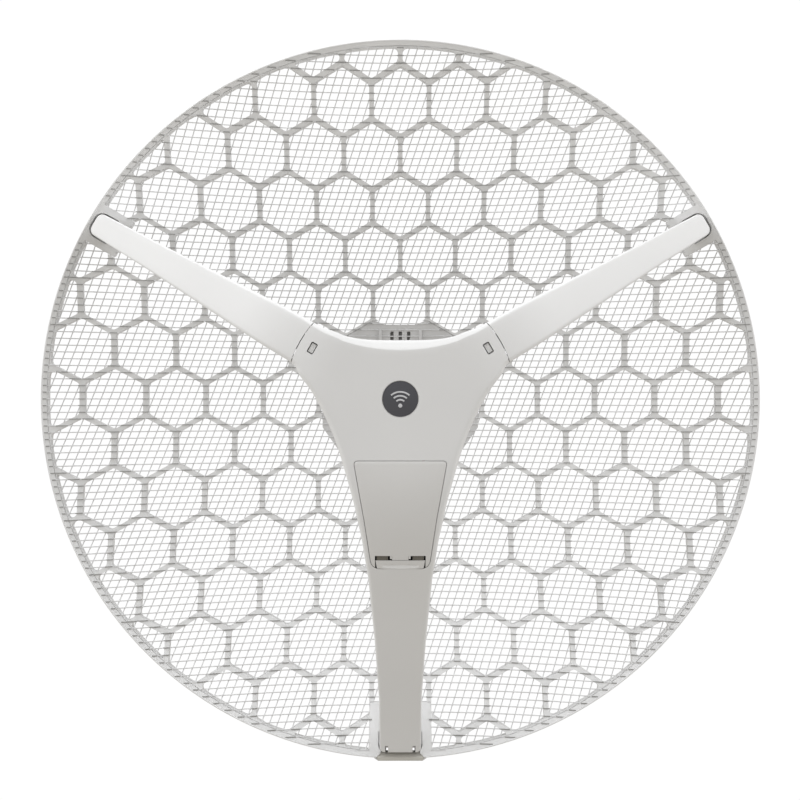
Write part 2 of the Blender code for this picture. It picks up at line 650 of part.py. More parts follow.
switch_z = board_low[1] + 0.0010
button_x, button_h = 0.016, top + 0.0022
switch = add("reset_switch",
             box((button_x - 0.003, switch_z, top + GAP), (button_x + 0.003, switch_z + 0.0055, top + 0.0040)),
             ((0.1, 0.1, 0.1), 0.5))
boolean(switch, "switch_bore",
        rod(0.0014, (button_x, switch_z - 0.011, button_h), (button_x, switch_z + 0.0030, button_h), 16))
button = rod(0.0011, (button_x, switch_z - 0.0040, button_h), (button_x, switch_z + 0.0022, button_h), 12)
add("reset_button", button, ((0.5, 0.1, 0.08), 0.5), origin=(button_x, switch_z, button_h))

led = box((-0.0200, board_low[1] + 0.0008, top + GAP), (-0.0140, board_low[1] + 0.0024, top + 0.0011))
add("status_led", led, ((0.6, 0.8, 0.5), 0.3))

shield = bmesh.new()
bmesh.ops.create_grid(shield, x_segments=1, y_segments=1, size=0.5)
bmesh.ops.transform(
    shield, matrix=Matrix.Translation((0, 0.019, top + 0.0036)) @ Matrix.Diagonal((0.030, 0.022, 1, 1)),
    verts=shield.verts[:])
walls = bmesh.ops.extrude_edge_only(shield, edges=shield.edges[:])["geom"]
wall_feet = [v for v in walls if isinstance(v, bmesh.types.BMVert)]
bmesh.ops.translate(shield, verts=wall_feet, vec=(0, 0, -0.0033))
can = add("rf_shield", shield, (STEEL, 0.4, 0.9))
solidify(can, 0.0003)

FOIL = ((0.75, 0.45, 0.2), 0.35, 1.0)
patch = add("feed_patch", box((-0.0125, -0.0125, 0.0945), (0.0125, 0.0125, 0.0953)), FOIL)
boolean(patch, "patch_hole", rod(0.0019, (0, 0, 0.09), (0, 0, 0.11), 16))
director = add("feed_director", rod(0.0095, (0, 0, 0.0898), (0, 0, 0.0906), 32), FOIL)
boolean(director, "director_hole", rod(0.0019, (0, 0, 0.08), (0, 0, 0.11), 16))
post_rod = rod(0.0016, (0, 0, 0.0885), (0, 0, BOARD_HEIGHT + 0.003), 16)
post = add("feed_post", post_rod, ((0.85, 0.85, 0.82), 0.5))
for k, (low, high) in enumerate(((0.0909, 0.0942), (0.0956, BOARD_HEIGHT - GAP))):
    boolean(post, f"post_collar_{k}", rod(0.0036, (0, 0, low), (0, 0, high), 16), "UNION")


def screws(name, places, look=(STEEL, 0.35, 0.9)):
    """Pan-head screws along the height axis, one object for each place."""
    for k, (x, y, seat, tip, shank, head, rise) in enumerate(places):
        bm = bmesh.new()
        profile = [(0, seat - rise), (head, seat - rise), (head, seat), (shank, seat), (shank, tip), (0, tip)]
        ring = [bm.verts.new((r, 0, z)) for r, z in profile]
        for a, b in zip(ring, ring[1:]):
            bm.edges.new((a, b))
        bmesh.ops.spin(bm, geom=bm.verts[:] + bm.edges[:], cent=(0, 0, 0), axis=(0, 0, 1), angle=2 * pi,
                       steps=8, use_merge=True)
        bmesh.ops.remove_doubles(bm, verts=bm.verts[:], dist=1e-6)
        bmesh.ops.translate(bm, verts=bm.verts[:], vec=(x, y, 0))
        add(f"{name}_{k + 1}", bm, look)


screws("board_screw",
       [(x, z, BOARD_HEIGHT - GAP, PLATE_HEIGHT - 0.0075, 0.0011, 0.0022, 0.0014) for x, z in BOARD_SCREWS])
places = []
for x, z in COVER_SCREWS:
    r = hypot(x, z)
    base = front(r) - depth(r)
    lift = 0.0 if r < SEAM_RADIUS else -0.0022
    places.append((x, z, base - GAP + lift, front(r) - 0.0070, 0.0011, 0.0026, 0.0014))
screws("cover_screw", places)
screws("arm_screw",
       [(*polar(FOOT_SCREW_R, angle), SOCKET_BASE[angle] - GAP, screw_top - 0.0062, 0.0013, 0.0034, 0.0022)
        for angle in SOCKETS])
hub_back = -DISH_DEPTH - HUB_DEPTH
screws("hub_screw", [(x, z, hub_back - 2 * GAP - 0.003, hub_back + 0.0046, 0.0018, 0.0036, 0.0026)
                     for x, z in HUB_SCREWS])

# ---------------------------------------------------------------- elevation bracket
SIDE = Matrix(((0, 0, 1, 0), (1, 0, 0, 0), (0, 1, 0, 0), (0, 0, 0, 1)))  # outline in (y, z), height along x
py, pz = PIVOT
BACK_Y = VERTEX_Y + HUB_DEPTH + GAP
PLATE_Y = BACK_Y + 0.003


def side_disc(radius, angle=0.0, distance=0.0, count=20):
    return circle(py + distance * sin(radians(angle)), pz + distance * cos(radians(angle)), radius, count)


bracket = add("hub_bracket", box((-0.026, BACK_Y, -0.028), (0.026, PLATE_Y, 0.034)), (STEEL, 0.45, 0.6),
              matrix=Matrix.Identity(4), origin=(0, py, pz))
ear = hull(side_disc(0.009) + side_disc(0.0063, -TILT, LOCK_RADIUS) + side_disc(0.0063, 0, LOCK_RADIUS)
           + side_disc(0.0063, TILT, LOCK_RADIUS) + [(PLATE_Y - 0.0015, -0.024), (PLATE_Y - 0.0015, 0.026)])


def arc_slot(half, sweep, steps=6):
    """Outline of a slot of even width that follows the lock bolt around the pivot."""
    def at(radius, angle):
        return py + radius * sin(radians(angle)), pz + radius * cos(radians(angle))

    def cap(angle, sign):
        y, z = at(LOCK_RADIUS, angle)
        across = Vector((sin(radians(angle)), cos(radians(angle))))
        along = Vector((across.y, -across.x))
        turned = [across * cos(t) + along * sin(t) for t in (pi / 4, pi / 2, 3 * pi / 4)]
        return [(y + sign * half * p.x, z + sign * half * p.y) for p in turned]

    path = [-sweep + 2 * sweep * i / steps for i in range(steps + 1)]
    outer = [at(LOCK_RADIUS + half, a) for a in path]
    inner = [at(LOCK_RADIUS - half, a) for a in path[::-1]]
    return outer + cap(sweep, 1) + inner + cap(-sweep, -1)


for k, sign in enumerate((-1, 1)):
    low, high = sorted((sign * EAR_X[0], sign * EAR_X[1]))
    boolean(bracket, f"ear_{k}", slab(ear, low, high), "UNION", matrix=SIDE)
boolean(bracket, "pivot_bore", rod(0.0043, (-0.03, py, pz), (0.03, py, pz), 20), matrix=Matrix.Identity(4))
boolean(bracket, "lock_slot", slab(arc_slot(0.0034, TILT + 0.5), -0.03, 0.03), matrix=SIDE)
for k, (x, z) in enumerate(HUB_SCREWS):
    boolean(bracket, f"bracket_hole_{k}", rod(0.0021, (x, BACK_Y - 0.01, z), (x, PLATE_Y + 0.01, z), 16),
            matrix=Matrix.Identity(4))

saddle_block = box((-SADDLE_HALF, SADDLE_Y[0], -SADDLE_Z), (SADDLE_HALF, SADDLE_Y[1], SADDLE_Z))
saddle = add("pole_saddle", saddle_block, (STEEL, 0.45, 0.6), matrix=Matrix.Identity(4))
mast = rod(MAST_RADIUS + 0.0002, (0, 0, -0.1), (0, 0, 0.1), 64)
boolean(saddle, "mast_cradle", mast, matrix=Matrix.Identity(4))
cheek = hull(side_disc(0.009) + side_disc(0.0062, 0, LOCK_RADIUS)
             + [(SADDLE_Y[0] + 0.001, -0.022), (SADDLE_Y[0] + 0.001, 0.022)])
for k, sign in enumerate((-1, 1)):
    low, high = sorted((sign * CHEEK_X[0], sign * CHEEK_X[1]))
    boolean(saddle, f"cheek_{k}", slab(cheek, low, high), "UNION", matrix=SIDE)
boolean(saddle, "pivot_hole", rod(0.0043, (-0.03, py, pz), (0.03, py, pz), 20), matrix=Matrix.Identity(4))
boolean(saddle, "lock_hole", rod(0.0033, (-0.03, py, pz + LOCK_RADIUS), (0.03, py, pz + LOCK_RADIUS), 20),
        matrix=Matrix.Identity(4))


def bolt(name, radius, head, z, look=(STEEL, 0.3, 1.0)):
    """A hexagon-head bolt across the bracket with its washers' thickness left under the head and nut."""
    reach = EAR_X[1] + GAP + 0.0012 + GAP
    made = add(name, rod(radius, (-reach - 0.001, py, z), (reach + 0.0085, py, z), 20), look,
               matrix=Matrix.Identity(4), origin=(0, py, z))
    boolean(made, f"{name}_head", rod(head, (-reach - 0.005, py, z), (-reach, py, z), 6), "UNION",
            matrix=Matrix.Identity(4))
    nut = add(f"{name.replace('bolt', 'nut')}", rod(head, (reach, py, z), (reach + 0.0055, py, z), 6), look,
              matrix=Matrix.Identity(4), origin=(0, py, z))
    nut_bore = rod(radius + GAP, (0, py, z), (0.05, py, z), 20)
    boolean(nut, f"{name}_nut_bore", nut_bore, matrix=Matrix.Identity(4))


bolt("pivot_bolt", 0.0040, 0.0075, pz)
bolt("lock_bolt", 0.0030, 0.0058, pz + LOCK_RADIUS)
for kind, z, bore, outer in (("pivot", pz, 0.0043, 0.0085), ("lock", pz + LOCK_RADIUS, 0.0033, 0.0064)):
    for side, sign in (("left", -1), ("right", 1)):
        inner_x = sign * (EAR_X[1] + GAP)
        disc = rod(outer, (inner_x, py, z), (inner_x + sign * 0.0012, py, z), 20)
        look = (STEEL, 0.3, 1.0)
        washer = add(f"{kind}_washer_{side}", disc, look, matrix=Matrix.Identity(4), origin=(0, py, z))
        boolean(washer, f"{kind}_washer_bore_{side}", rod(bore, (-0.03, py, z), (0.03, py, z), 20),
                matrix=Matrix.Identity(4))


# ---------------------------------------------------------------- hose clamps
def band_loop():
    """The mast's back half, then straight to the saddle's front corners."""
    radius = MAST_RADIUS + 0.0004
    x, y = SADDLE_HALF + GAP, SADDLE_Y[0] - GAP
    touch = atan2(y, x) + acos(radius / hypot(x, y))
    count = 36
    angles = [touch + (pi - 2 * touch) * i / count for i in range(count + 1)]
    arc = [(radius * cos(angle), radius * sin(angle)) for angle in angles]
    return arc + [(-x, y), (x, y)]


for name, z in (("upper", BAND_Z), ("lower", -BAND_Z)):
    bm = bmesh.new()
    loop = [bm.verts.new((x, y, z - BAND_WIDTH / 2)) for x, y in band_loop()]
    edges = [bm.edges.new((a, b)) for a, b in zip(loop, loop[1:] + loop[:1])]
    made = bmesh.ops.extrude_edge_only(bm, edges=edges)["geom"]
    upper_edge = [v for v in made if isinstance(v, bmesh.types.BMVert)]
    bmesh.ops.translate(bm, verts=upper_edge, vec=(0, 0, BAND_WIDTH))
    band = add(f"clamp_band_{name}", bm, (STEEL, 0.3, 1.0), matrix=Matrix.Identity(4))
    solidify(band, BAND_THICK, 1)
    back = MAST_RADIUS + 0.0004 + BAND_THICK + GAP
    worm_y = back + 0.0050
    shell = add(f"clamp_housing_{name}",
                box((-0.0075, back, z - 0.0070), (0.0075, back + 0.0098, z + 0.0070), 0, 0.0008),
                (STEEL, 0.3, 1.0), matrix=Matrix.Identity(4))
    boolean(shell, f"worm_bore_{name}", rod(0.0037, (-0.03, worm_y, z), (0.03, worm_y, z), 20),
            matrix=Matrix.Identity(4))
    worm = add(f"clamp_screw_{name}", rod(0.0033, (-0.0085, worm_y, z), (0.0083, worm_y, z), 20),
               (STEEL, 0.3, 1.0), matrix=Matrix.Identity(4), origin=(0, worm_y, z))
    boolean(worm, f"worm_head_{name}", rod(0.0040, (0.0080, worm_y, z), (0.0125, worm_y, z), 6), "UNION",
            matrix=Matrix.Identity(4))
    slot = box((0.0108, worm_y - 0.0006, z - 0.01), (0.02, worm_y + 0.0006, z + 0.01))
    boolean(worm, f"worm_slot_{name}", slot, matrix=Matrix.Identity(4))
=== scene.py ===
import json
from math import asin, atan2, cos, degrees, dist, exp, hypot, pi, radians, sin, sqrt, tan

import bmesh
import bpy
from mathutils import Matrix, Vector
from mathutils.geometry import delaunay_2d_cdt

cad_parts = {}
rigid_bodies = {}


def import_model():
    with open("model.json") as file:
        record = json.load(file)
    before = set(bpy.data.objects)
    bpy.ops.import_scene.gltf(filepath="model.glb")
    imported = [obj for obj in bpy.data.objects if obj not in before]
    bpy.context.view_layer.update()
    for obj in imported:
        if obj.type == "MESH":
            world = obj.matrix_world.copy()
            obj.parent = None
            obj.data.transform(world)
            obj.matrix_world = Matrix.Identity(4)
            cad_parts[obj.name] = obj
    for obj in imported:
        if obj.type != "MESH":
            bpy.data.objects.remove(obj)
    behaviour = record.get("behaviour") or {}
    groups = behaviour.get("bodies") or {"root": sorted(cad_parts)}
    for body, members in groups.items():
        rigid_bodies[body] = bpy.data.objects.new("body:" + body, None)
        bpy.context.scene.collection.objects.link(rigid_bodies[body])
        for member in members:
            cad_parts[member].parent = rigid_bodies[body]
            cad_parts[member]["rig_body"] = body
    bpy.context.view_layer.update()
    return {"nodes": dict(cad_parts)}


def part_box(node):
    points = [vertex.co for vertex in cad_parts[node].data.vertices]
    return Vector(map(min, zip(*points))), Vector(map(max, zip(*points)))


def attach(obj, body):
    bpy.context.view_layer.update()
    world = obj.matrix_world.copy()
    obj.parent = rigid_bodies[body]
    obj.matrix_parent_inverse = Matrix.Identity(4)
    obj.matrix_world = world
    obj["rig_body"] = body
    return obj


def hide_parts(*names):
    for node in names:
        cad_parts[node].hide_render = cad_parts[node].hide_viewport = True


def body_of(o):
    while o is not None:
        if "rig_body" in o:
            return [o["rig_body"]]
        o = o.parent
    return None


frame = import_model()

# ---------------------------------------------------------------- dimensions, as in the frame
RIM_LOW, RIM_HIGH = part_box("reflector_rim")
RIM_Y = RIM_LOW[1]
RIM_RADIUS = RIM_HIGH[0]
DISH_DEPTH = RIM_RADIUS**2 / 0.8
RIM_BAND = 0.0040
RIM_BACK = 0.0105
BEAD = 0.0011  # width of the round bead along the rim's edge
WIRE_END = 0.2707
TICK_END = 0.2726
FOOT_HALF = 0.017
FOOT_DROP = 0.002

CELL_PITCH = 0.0448
RIB_WIDTH = 0.0036
RIB_DEPTH = 0.0075
CELL_ROUND = 0.0032
WIRE_RADIUS = 0.00043
DASH_HALF = 0.00034
LEVEL_PITCH = 0.0051625
SLANT_PITCH = 0.006215
SLANT_START = 0.002693
SLANT = 0.364  # sideways run of a slanted wire for each unit of height

HUB_RADIUS = 0.068
HUB_ANGLES = (19.5, 40.5, 70.0)
HUB_SLOTS = (-0.0069, 0.0, 0.0069)

PLATE_HEIGHT = 0.118
FLAT_RADIUS = 0.050
BEND_RADIUS = 0.125
ARM_SLOPE = 0.639
CENTRE_DEPTH = 0.034
TIP_DEPTH = 0.022
WALL = 0.0024
GAP = 0.0003
SEAM_RADIUS = 0.079
SEAM_GAP = 0.0006
ARM_TIP = 0.2690
ARM_ANGLES = (30, 150)
ARM_WIDTHS = ((0.079, 0.0157), (0.104, 0.0152), (0.157, 0.0128), (0.206, 0.0106), (0.270, 0.0086))
LOWER_WIDTHS = (
    (0.034, 0.0424), (0.041, 0.0395), (0.0685, 0.0327), (0.0967, 0.0267), (0.1262, 0.0224),
    (0.1733, 0.0185), (0.2233, 0.0157), (0.270, 0.0157),
)
SIDE_SCOOP = ((0.0694, 0.0167), (0.0604, 0.0046), (0.0511, -0.0129), (0.0424, -0.0346))
TOP_SCOOP = ((0.0516, 0.0484), (0.0436, 0.0455), (0.0358, 0.0426), (0.0221, 0.0405))
TIP_ROUND = 0.0054
LOWER_ROUND = 0.0042
LOWER_FILLETS = ((0.035, 0.0041), (0.055, 0.0034), (0.160, 0.0022), (0.225, 0.0015), (0.270, 0.0012))
ARM_FILLETS = ((0.079, 0.0032), (0.130, 0.0026), (0.200, 0.0018), (0.270, 0.0012))
TOP_CHAMFER = (0.0033, 0.0041, 0.031)  # width at the ends, more in the middle, how far the middle reaches
SIDE_FILLET = 0.0042
LATCH_RADIUS = 0.0694
LATCH_WINDOW = (0.0048, 0.0080)

DOOR_TOP = -0.0424
DOOR_CORNERS = ((0.0319, DOOR_TOP), (0.0249, -0.0824), (0.0199, -0.1180))
DOOR_ROUND = (0.0022, 0, 0.0062)
DOOR_GAP = 0.0003
DOOR_THICK = 0.0022
DOOR_SLOTS = (0.0071, 0.0176, -0.1120, -0.1086)  # |x| from, to, then z from, to
SLOT_FOOT = (0.0056, 0.0078, -0.1108)  # |x| from, to, and the top of the notch beside a slot
LATCH_TOP = -0.1119
LATCH_HALF = 0.0172
LATCH_CLOSED = 0.0136  # |x| within which the latch closes on the shell

SOCKET_INNER = {30: 0.247, 150: 0.247, 270: 0.236}
SOCKET_BASE = {30: -0.0255, 150: -0.0255, 270: -0.0290}
SOCKET_FLOOR = 0.0027
SOCKET_OUTER = 0.2720
SOCKET_WALL = 0.0055
FOOT_WALL = 0.0077
EXIT = (-0.0168, -0.0108)
EXIT_HALF = 0.0110
EMBLEM_RADIUS = 0.0122
ARM_SCREW_AT = 0.2515  # distance of the three arm screws from the middle
SCREW_BORE = 0.0021
PAD_HALVES = ((0.2703, 0.0150), (0.2730, 0.0182), (0.2736, 0.0184), (0.2759, 0.0166))  # at each radius

FACE = Matrix.Translation((0, RIM_Y, 0)) @ Matrix.Rotation(radians(90), 4, "X")


# ---------------------------------------------------------------- rules of the shapes
def dish(r):
    return -DISH_DEPTH * (1 - (r / RIM_RADIUS) ** 2)


def front(r):
    """Height of the feed unit's front above the rim plane."""
    if r <= FLAT_RADIUS:
        return PLATE_HEIGHT
    reach = min(r, BEND_RADIUS)
    drop = ARM_SLOPE * (reach - FLAT_RADIUS) ** 2 / (2 * (BEND_RADIUS - FLAT_RADIUS))
    return PLATE_HEIGHT - drop - ARM_SLOPE * max(0.0, r - BEND_RADIUS)


def depth(r):
    part = min(1.0, max(0.0, (r - SEAM_RADIUS) / (ARM_TIP - SEAM_RADIUS)))
    return CENTRE_DEPTH + (TIP_DEPTH - CENTRE_DEPTH) * part


def back(r):
    return front(r) - depth(r)


def parting(r):
    return front(r) - 0.58 * depth(r)


def between(stations, at):
    for (a, p), (b, q) in zip(stations, stations[1:]):
        if at <= b:
            return p + (q - p) * max(0.0, (at - a) / (b - a))
    return stations[-1][1]


def along(a, b, part):
    """The point that lies a part of the way from one point to another."""
    return a[0] + (b[0] - a[0]) * part, a[1] + (b[1] - a[1]) * part


def polar(radius, angle):
    return radius * cos(radians(angle)), radius * sin(radians(angle))


def turned(points, angle):
    c, s = cos(radians(angle)), sin(radians(angle))
    return [(x * c - y * s, x * s + y * c) for x, y in points]


def curve(points, steps):
    """A smooth curve through the points, from the second to the last but one."""
    made = []
    for a, b, c, d in zip(points, points[1:], points[2:], points[3:]):
        for i in range(steps):
            t = i / steps
            made.append(tuple(
                0.5 * (2 * q + (r - p) * t + (2 * p - 5 * q + 4 * r - s) * t * t
                       + (3 * q - p - 3 * r + s) * t**3)
                for p, q, r, s in zip(a, b, c, d)))
    return made + [points[-2]]


def rounded(points, radius, steps=5):
    """A closed outline with its corners rounded; radius is one number or one for each corner."""
    made = []
    count = len(points)
    radii = radius if isinstance(radius, (list, tuple)) else [radius] * count
    for i, corner in enumerate(points):
        here = Vector(corner)
        before = Vector(points[i - 1]) - here
        after = Vector(points[(i + 1) % count]) - here
        half = before.angle(after) / 2
        r = min(radii[i], 0.48 * min(before.length, after.length) * tan(half))
        if r <= 1e-6 or half > radians(88):
            made.append(tuple(here))
            continue
        before.normalize()
        after.normalize()
        reach = r / tan(half)
        centre = here + (before + after).normalized() * (r / sin(half))
        p, q = here + before * reach - centre, here + after * reach - centre
        start = atan2(p.y, p.x)
        sweep = (atan2(q.y, q.x) - start + pi) % (2 * pi) - pi
        turns = [start + sweep * k / steps for k in range(steps + 1)]
        made += [(centre.x + r * cos(t), centre.y + r * sin(t)) for t in turns]
    return made


def spaced(points, step):
    """The closed outline with long edges divided."""
    made = []
    for a, b in zip(points, points[1:] + points[:1]):
        count = max(1, int(round(dist(a, b) / step)))
        made += [along(a, b, k / count) for k in range(count)]
    return made


def mirrored(points):
    """The points on the other side of the upright middle line, in reverse order."""
    return [(-x, y) for x, y in points[::-1]]


def area(points):
    return sum(a[0] * b[1] - b[0] * a[1] for a, b in zip(points, points[1:] + points[:1])) / 2


def inwards(points):
    """Unit normals into a counter-clockwise outline."""
    normals = []
    for a, b, c in zip(points[-1:] + points[:-1], points, points[1:] + points[:1]):
        one = Vector((a[1] - b[1], b[0] - a[0])).normalized()
        two = Vector((b[1] - c[1], c[0] - b[0])).normalized()
        both = one + two
        normals.append(both / max(0.5, both.dot(one)) if both.length > 1e-9 else one)
    return normals


def moved_in(points, amount):
    return [(p[0] + n.x * amount, p[1] + n.y * amount) for p, n in zip(points, inwards(points))]


def inside(points, x, y):
    hit = False
    for (ax, ay), (bx, by) in zip(points, points[1:] + points[:1]):
        if (ay > y) != (by > y) and x < ax + (bx - ax) * (y - ay) / (by - ay):
            hit = not hit
    return hit


def clipped(points, sides, radius):
    """The part of a convex outline inside a regular polygon about the origin."""
    for k in range(sides):
        c, s = polar(1, 360 * k / sides)
        kept = []
        for a, b in zip(points, points[1:] + points[:1]):
            da, db = a[0] * c + a[1] * s - radius, b[0] * c + b[1] * s - radius
            if da <= 0:
                kept.append(a)
            if (da < 0 < db) or (db < 0 < da):
                kept.append(along(a, b, da / (da - db)))
        points = kept
        if len(points) < 3:
            return []
    return points


# ---------------------------------------------------------------- materials
def add_node(tree, kind, **values):
    """A new node with its inputs set; an underscore in an input's name stands for a space."""
    made = tree.nodes.new("ShaderNode" + kind)
    for name, value in values.items():
        made.inputs[name.replace("_", " ")].default_value = value
    return made


def shader_tree(name, colour, roughness, metallic=0.0):
    made = bpy.data.materials.new(name)
    made.use_nodes = True
    shader = made.node_tree.nodes["Principled BSDF"]
    shader.inputs["Base Color"].default_value = (*colour, 1)
    shader.inputs["Roughness"].default_value = roughness
    shader.inputs["Metallic"].default_value = metallic
    return made, made.node_tree, shader


def noise_at(tree, place, scale, detail):
    noise = add_node(tree, "TexNoise", Scale=scale, Detail=detail)
    tree.links.new(place, noise.inputs["Vector"])
    return noise.outputs["Fac"]


def tinted(tree, shader, place, colour, scale, spread):
    """Slow variation of the colour over the surface."""
    ramp = add_node(tree, "ValToRGB")
    for end, at, part in zip(ramp.color_ramp.elements, (0.3, 0.7), (1 - spread, 1 + spread)):
        end.position = at
        end.color = (*[min(1, c * part) for c in colour], 1)
    tree.links.new(noise_at(tree, place, scale, 4), ramp.inputs["Fac"])
    tree.links.new(ramp.outputs["Color"], shader.inputs["Base Color"])


def bumped(tree, shader, height, strength, distance):
    bump = add_node(tree, "Bump", Strength=strength, Distance=distance)
    tree.links.new(height, bump.inputs["Height"])
    tree.links.new(bump.outputs["Normal"], shader.inputs["Normal"])


def grained(tree, shader, place, scale, distance, rough, detail):
    """Fine relief with matching changes of roughness."""
    grain = noise_at(tree, place, scale, detail)
    bumped(tree, shader, grain, 0.5, distance)
    spread = add_node(tree, "MapRange", To_Min=rough[0], To_Max=rough[1])
    tree.links.new(grain, spread.inputs["Value"])
    tree.links.new(spread.outputs["Result"], shader.inputs["Roughness"])


def place_of(tree, stretch=(1, 1, 1)):
    mapping = add_node(tree, "Mapping", Scale=stretch)
    tree.links.new(add_node(tree, "TexCoord").outputs["Object"], mapping.inputs["Vector"])
    return mapping.outputs["Vector"]


def moulded(name, colour, rough=(0.40, 0.52), scale=1500, distance=0.00002, spread=0.012, patch=18, detail=3):
    """Fine satin relief over slow patches of a slightly different tone."""
    made, tree, shader = shader_tree(name, colour, rough[0])
    place = place_of(tree)
    tinted(tree, shader, place, colour, patch, spread)
    grained(tree, shader, place, scale, distance, rough, detail)
    return made


def coated(name, colour):
    """Powder coat with a slight orange peel."""
    return moulded(name, colour, (0.42, 0.58), 2600, 0.000012, 0.03, 30, 2)


def drawn_metal(name, colour, rough=(0.22, 0.42)):
    """Bare metal with fine scratches along one direction."""
    made, tree, shader = shader_tree(name, colour, rough[0], 1.0)
    tinted(tree, shader, place_of(tree), colour, 90, 0.08)
    grained(tree, shader, place_of(tree, (60, 1500, 1500)), 1, 0.00001, rough, 4)
    return made


def circuit_board(name):
    """Green solder mask over straight traces."""
    made, tree, shader = shader_tree(name, (0.02, 0.13, 0.06), 0.35)
    brick = add_node(tree, "TexBrick", Scale=260, Mortar_Size=0.06, Color1=(0.015, 0.11, 0.05, 1),
                     Color2=(0.02, 0.14, 0.06, 1), Mortar=(0.05, 0.22, 0.09, 1))
    turn = add_node(tree, "Mapping", Rotation=(radians(90), 0, 0))
    tree.links.new(place_of(tree), turn.inputs["Vector"])
    tree.links.new(turn.outputs["Vector"], brick.inputs["Vector"])
    tree.links.new(brick.outputs["Color"], shader.inputs["Base Color"])
    bumped(tree, shader, brick.outputs["Fac"], 1.0, 0.00003)
    return made


PLASTIC = moulded("moulded_shell", (0.76, 0.757, 0.75))
DOOR_PLASTIC = moulded("moulded_door", (0.72, 0.713, 0.70))
COAT = coated("grey_powder_coat", (0.80, 0.798, 0.795))
HUB_COAT = coated("hub_powder_coat", (0.66, 0.655, 0.65))
WIRE_COAT = coated("wire_powder_coat", (0.76, 0.76, 0.76))
# Dark coat: painted shade, on the wire dashes and in the hub's slots.
PAINTED_SHADE_COAT = coated("painted_shade_powder_coat", (0.36, 0.355, 0.345))
EMBLEM = moulded("charcoal_emblem", (0.070, 0.070, 0.080), (0.45, 0.6), 900, 0.00002, 0.1)
EMBLEM_MARK = moulded("emblem_mark", (0.60, 0.60, 0.62), (0.4, 0.5), 900, 0.00001, 0.05)
BOARD = circuit_board("solder_mask")
TIN = drawn_metal("tinned_sheet", (0.62, 0.62, 0.60))
ZINC = drawn_metal("zinc_plate", (0.58, 0.58, 0.56), (0.28, 0.45))
STAINLESS = drawn_metal("stainless_strip", (0.63, 0.63, 0.62), (0.18, 0.34))
COPPER = drawn_metal("bare_copper", (0.78, 0.44, 0.22), (0.2, 0.4))
BRACKET = coated("bracket_coat", (0.42, 0.42, 0.42))
# Near-black without shine: painted shade for the ends of the door's slots.
PAINTED_BLACK, _, PAINTED_BLACK_SHADER = shader_tree("painted_black_shade", (0.004, 0.004, 0.004), 1.0)
PAINTED_BLACK_SHADER.inputs["Specular IOR Level"].default_value = 0
BLACK = moulded("black_moulding", (0.025, 0.025, 0.026), (0.45, 0.6), 900, 0.00002, 0.2)
RED = moulded("red_moulding", (0.45, 0.06, 0.04), (0.3, 0.4), 900, 0.00001, 0.05)
NYLON = moulded("natural_nylon", (0.78, 0.77, 0.70), (0.4, 0.5), 900, 0.00002, 0.04)
LENS = moulded("light_pipe", (0.55, 0.75, 0.45), (0.08, 0.16), 600, 0.00001, 0.03)


# ---------------------------------------------------------------- making pieces
def mesh_of(name, bm):
    """The bmesh as a mesh; the bmesh is used up."""
    mesh = bpy.data.meshes.new(name)
    bm.to_mesh(mesh)
    bm.free()
    return mesh


def in_scene(name, data):
    made = bpy.data.objects.new(name, data)
    bpy.context.scene.collection.objects.link(made)
    return made


def place(name, bm, look, matrix=FACE, body="antenna", slot=None, stands_for=(), smooth=35):
    bmesh.ops.recalc_face_normals(bm, faces=bm.faces[:])
    mesh = mesh_of(name, bm)
    mesh.transform(matrix)
    made = in_scene(name, mesh)
    mesh.materials.append(look)
    mesh.shade_smooth()
    mesh.set_sharp_from_angle(angle=radians(smooth))
    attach(made, body)
    if stands_for:
        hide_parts(*stands_for)
    return made


CUT, ADD, KEEP = "DIFFERENCE", "UNION", "INTERSECT"


def cut_with(bm, steps):
    """The closed mesh after a list of (CUT, ADD or KEEP, tool mesh), as a new bmesh."""
    def temporary(source):
        bmesh.ops.recalc_face_normals(source, faces=source.faces[:])
        return in_scene("work", mesh_of("work", source))

    target = temporary(bm)
    tools = []
    for operation, tool in steps:
        step = target.modifiers.new("cut", "BOOLEAN")
        step.operation = operation
        step.solver = "EXACT"
        step.object = temporary(tool)
        tools.append(step.object)
    graph = bpy.context.evaluated_depsgraph_get()
    result = bmesh.new()
    result.from_object(target, graph)
    for made in [target, *tools]:
        mesh = made.data
        bpy.data.objects.remove(made, do_unlink=True)
        bpy.data.meshes.remove(mesh)
    return result


def joined(*meshes):
    """Several meshes that don't touch, as one."""
    whole = bmesh.new()
    for bm in meshes:
        mesh = mesh_of("part", bm)
        whole.from_mesh(mesh)
        bpy.data.meshes.remove(mesh)
    return whole


def extruded(bm):
    """Turns the surface into a closed solid of no depth and gives the copied vertices."""
    made = bmesh.ops.extrude_face_region(bm, geom=bm.faces[:], use_keep_orig=True)["geom"]
    return [v for v in made if isinstance(v, bmesh.types.BMVert)]


def slab(outline, low, high, bevel=0.0):
    bm = bmesh.new()
    bm.faces.new([bm.verts.new((x, y, low)) for x, y in outline])
    bmesh.ops.translate(bm, verts=extruded(bm), vec=(0, 0, high - low))
    if bevel:
        level = [e for e in bm.edges if abs(e.verts[0].co.z - e.verts[1].co.z) < 1e-7]
        bmesh.ops.bevel(bm, geom=level, offset=bevel, segments=2, profile=0.5, affect="EDGES")
    return bm


def block(low, high, turn=0.0, bevel=0.0, corner=0.0):
    outline = [(low[0], low[1]), (high[0], low[1]), (high[0], high[1]), (low[0], high[1])]
    if corner:
        outline = rounded(outline, corner)
    return slab(turned(outline, turn), low[2], high[2], bevel)


def rod(radius, start, end, sides=32):
    start, end = Vector(start), Vector(end)
    bm = bmesh.new()
    bmesh.ops.create_cone(
        bm, cap_ends=True, segments=sides, radius1=radius, radius2=radius, depth=(end - start).length)
    turn = (end - start).to_track_quat("Z", "Y").to_matrix().to_4x4()
    bmesh.ops.transform(bm, matrix=Matrix.Translation((start + end) / 2) @ turn, verts=bm.verts[:])
    return bm


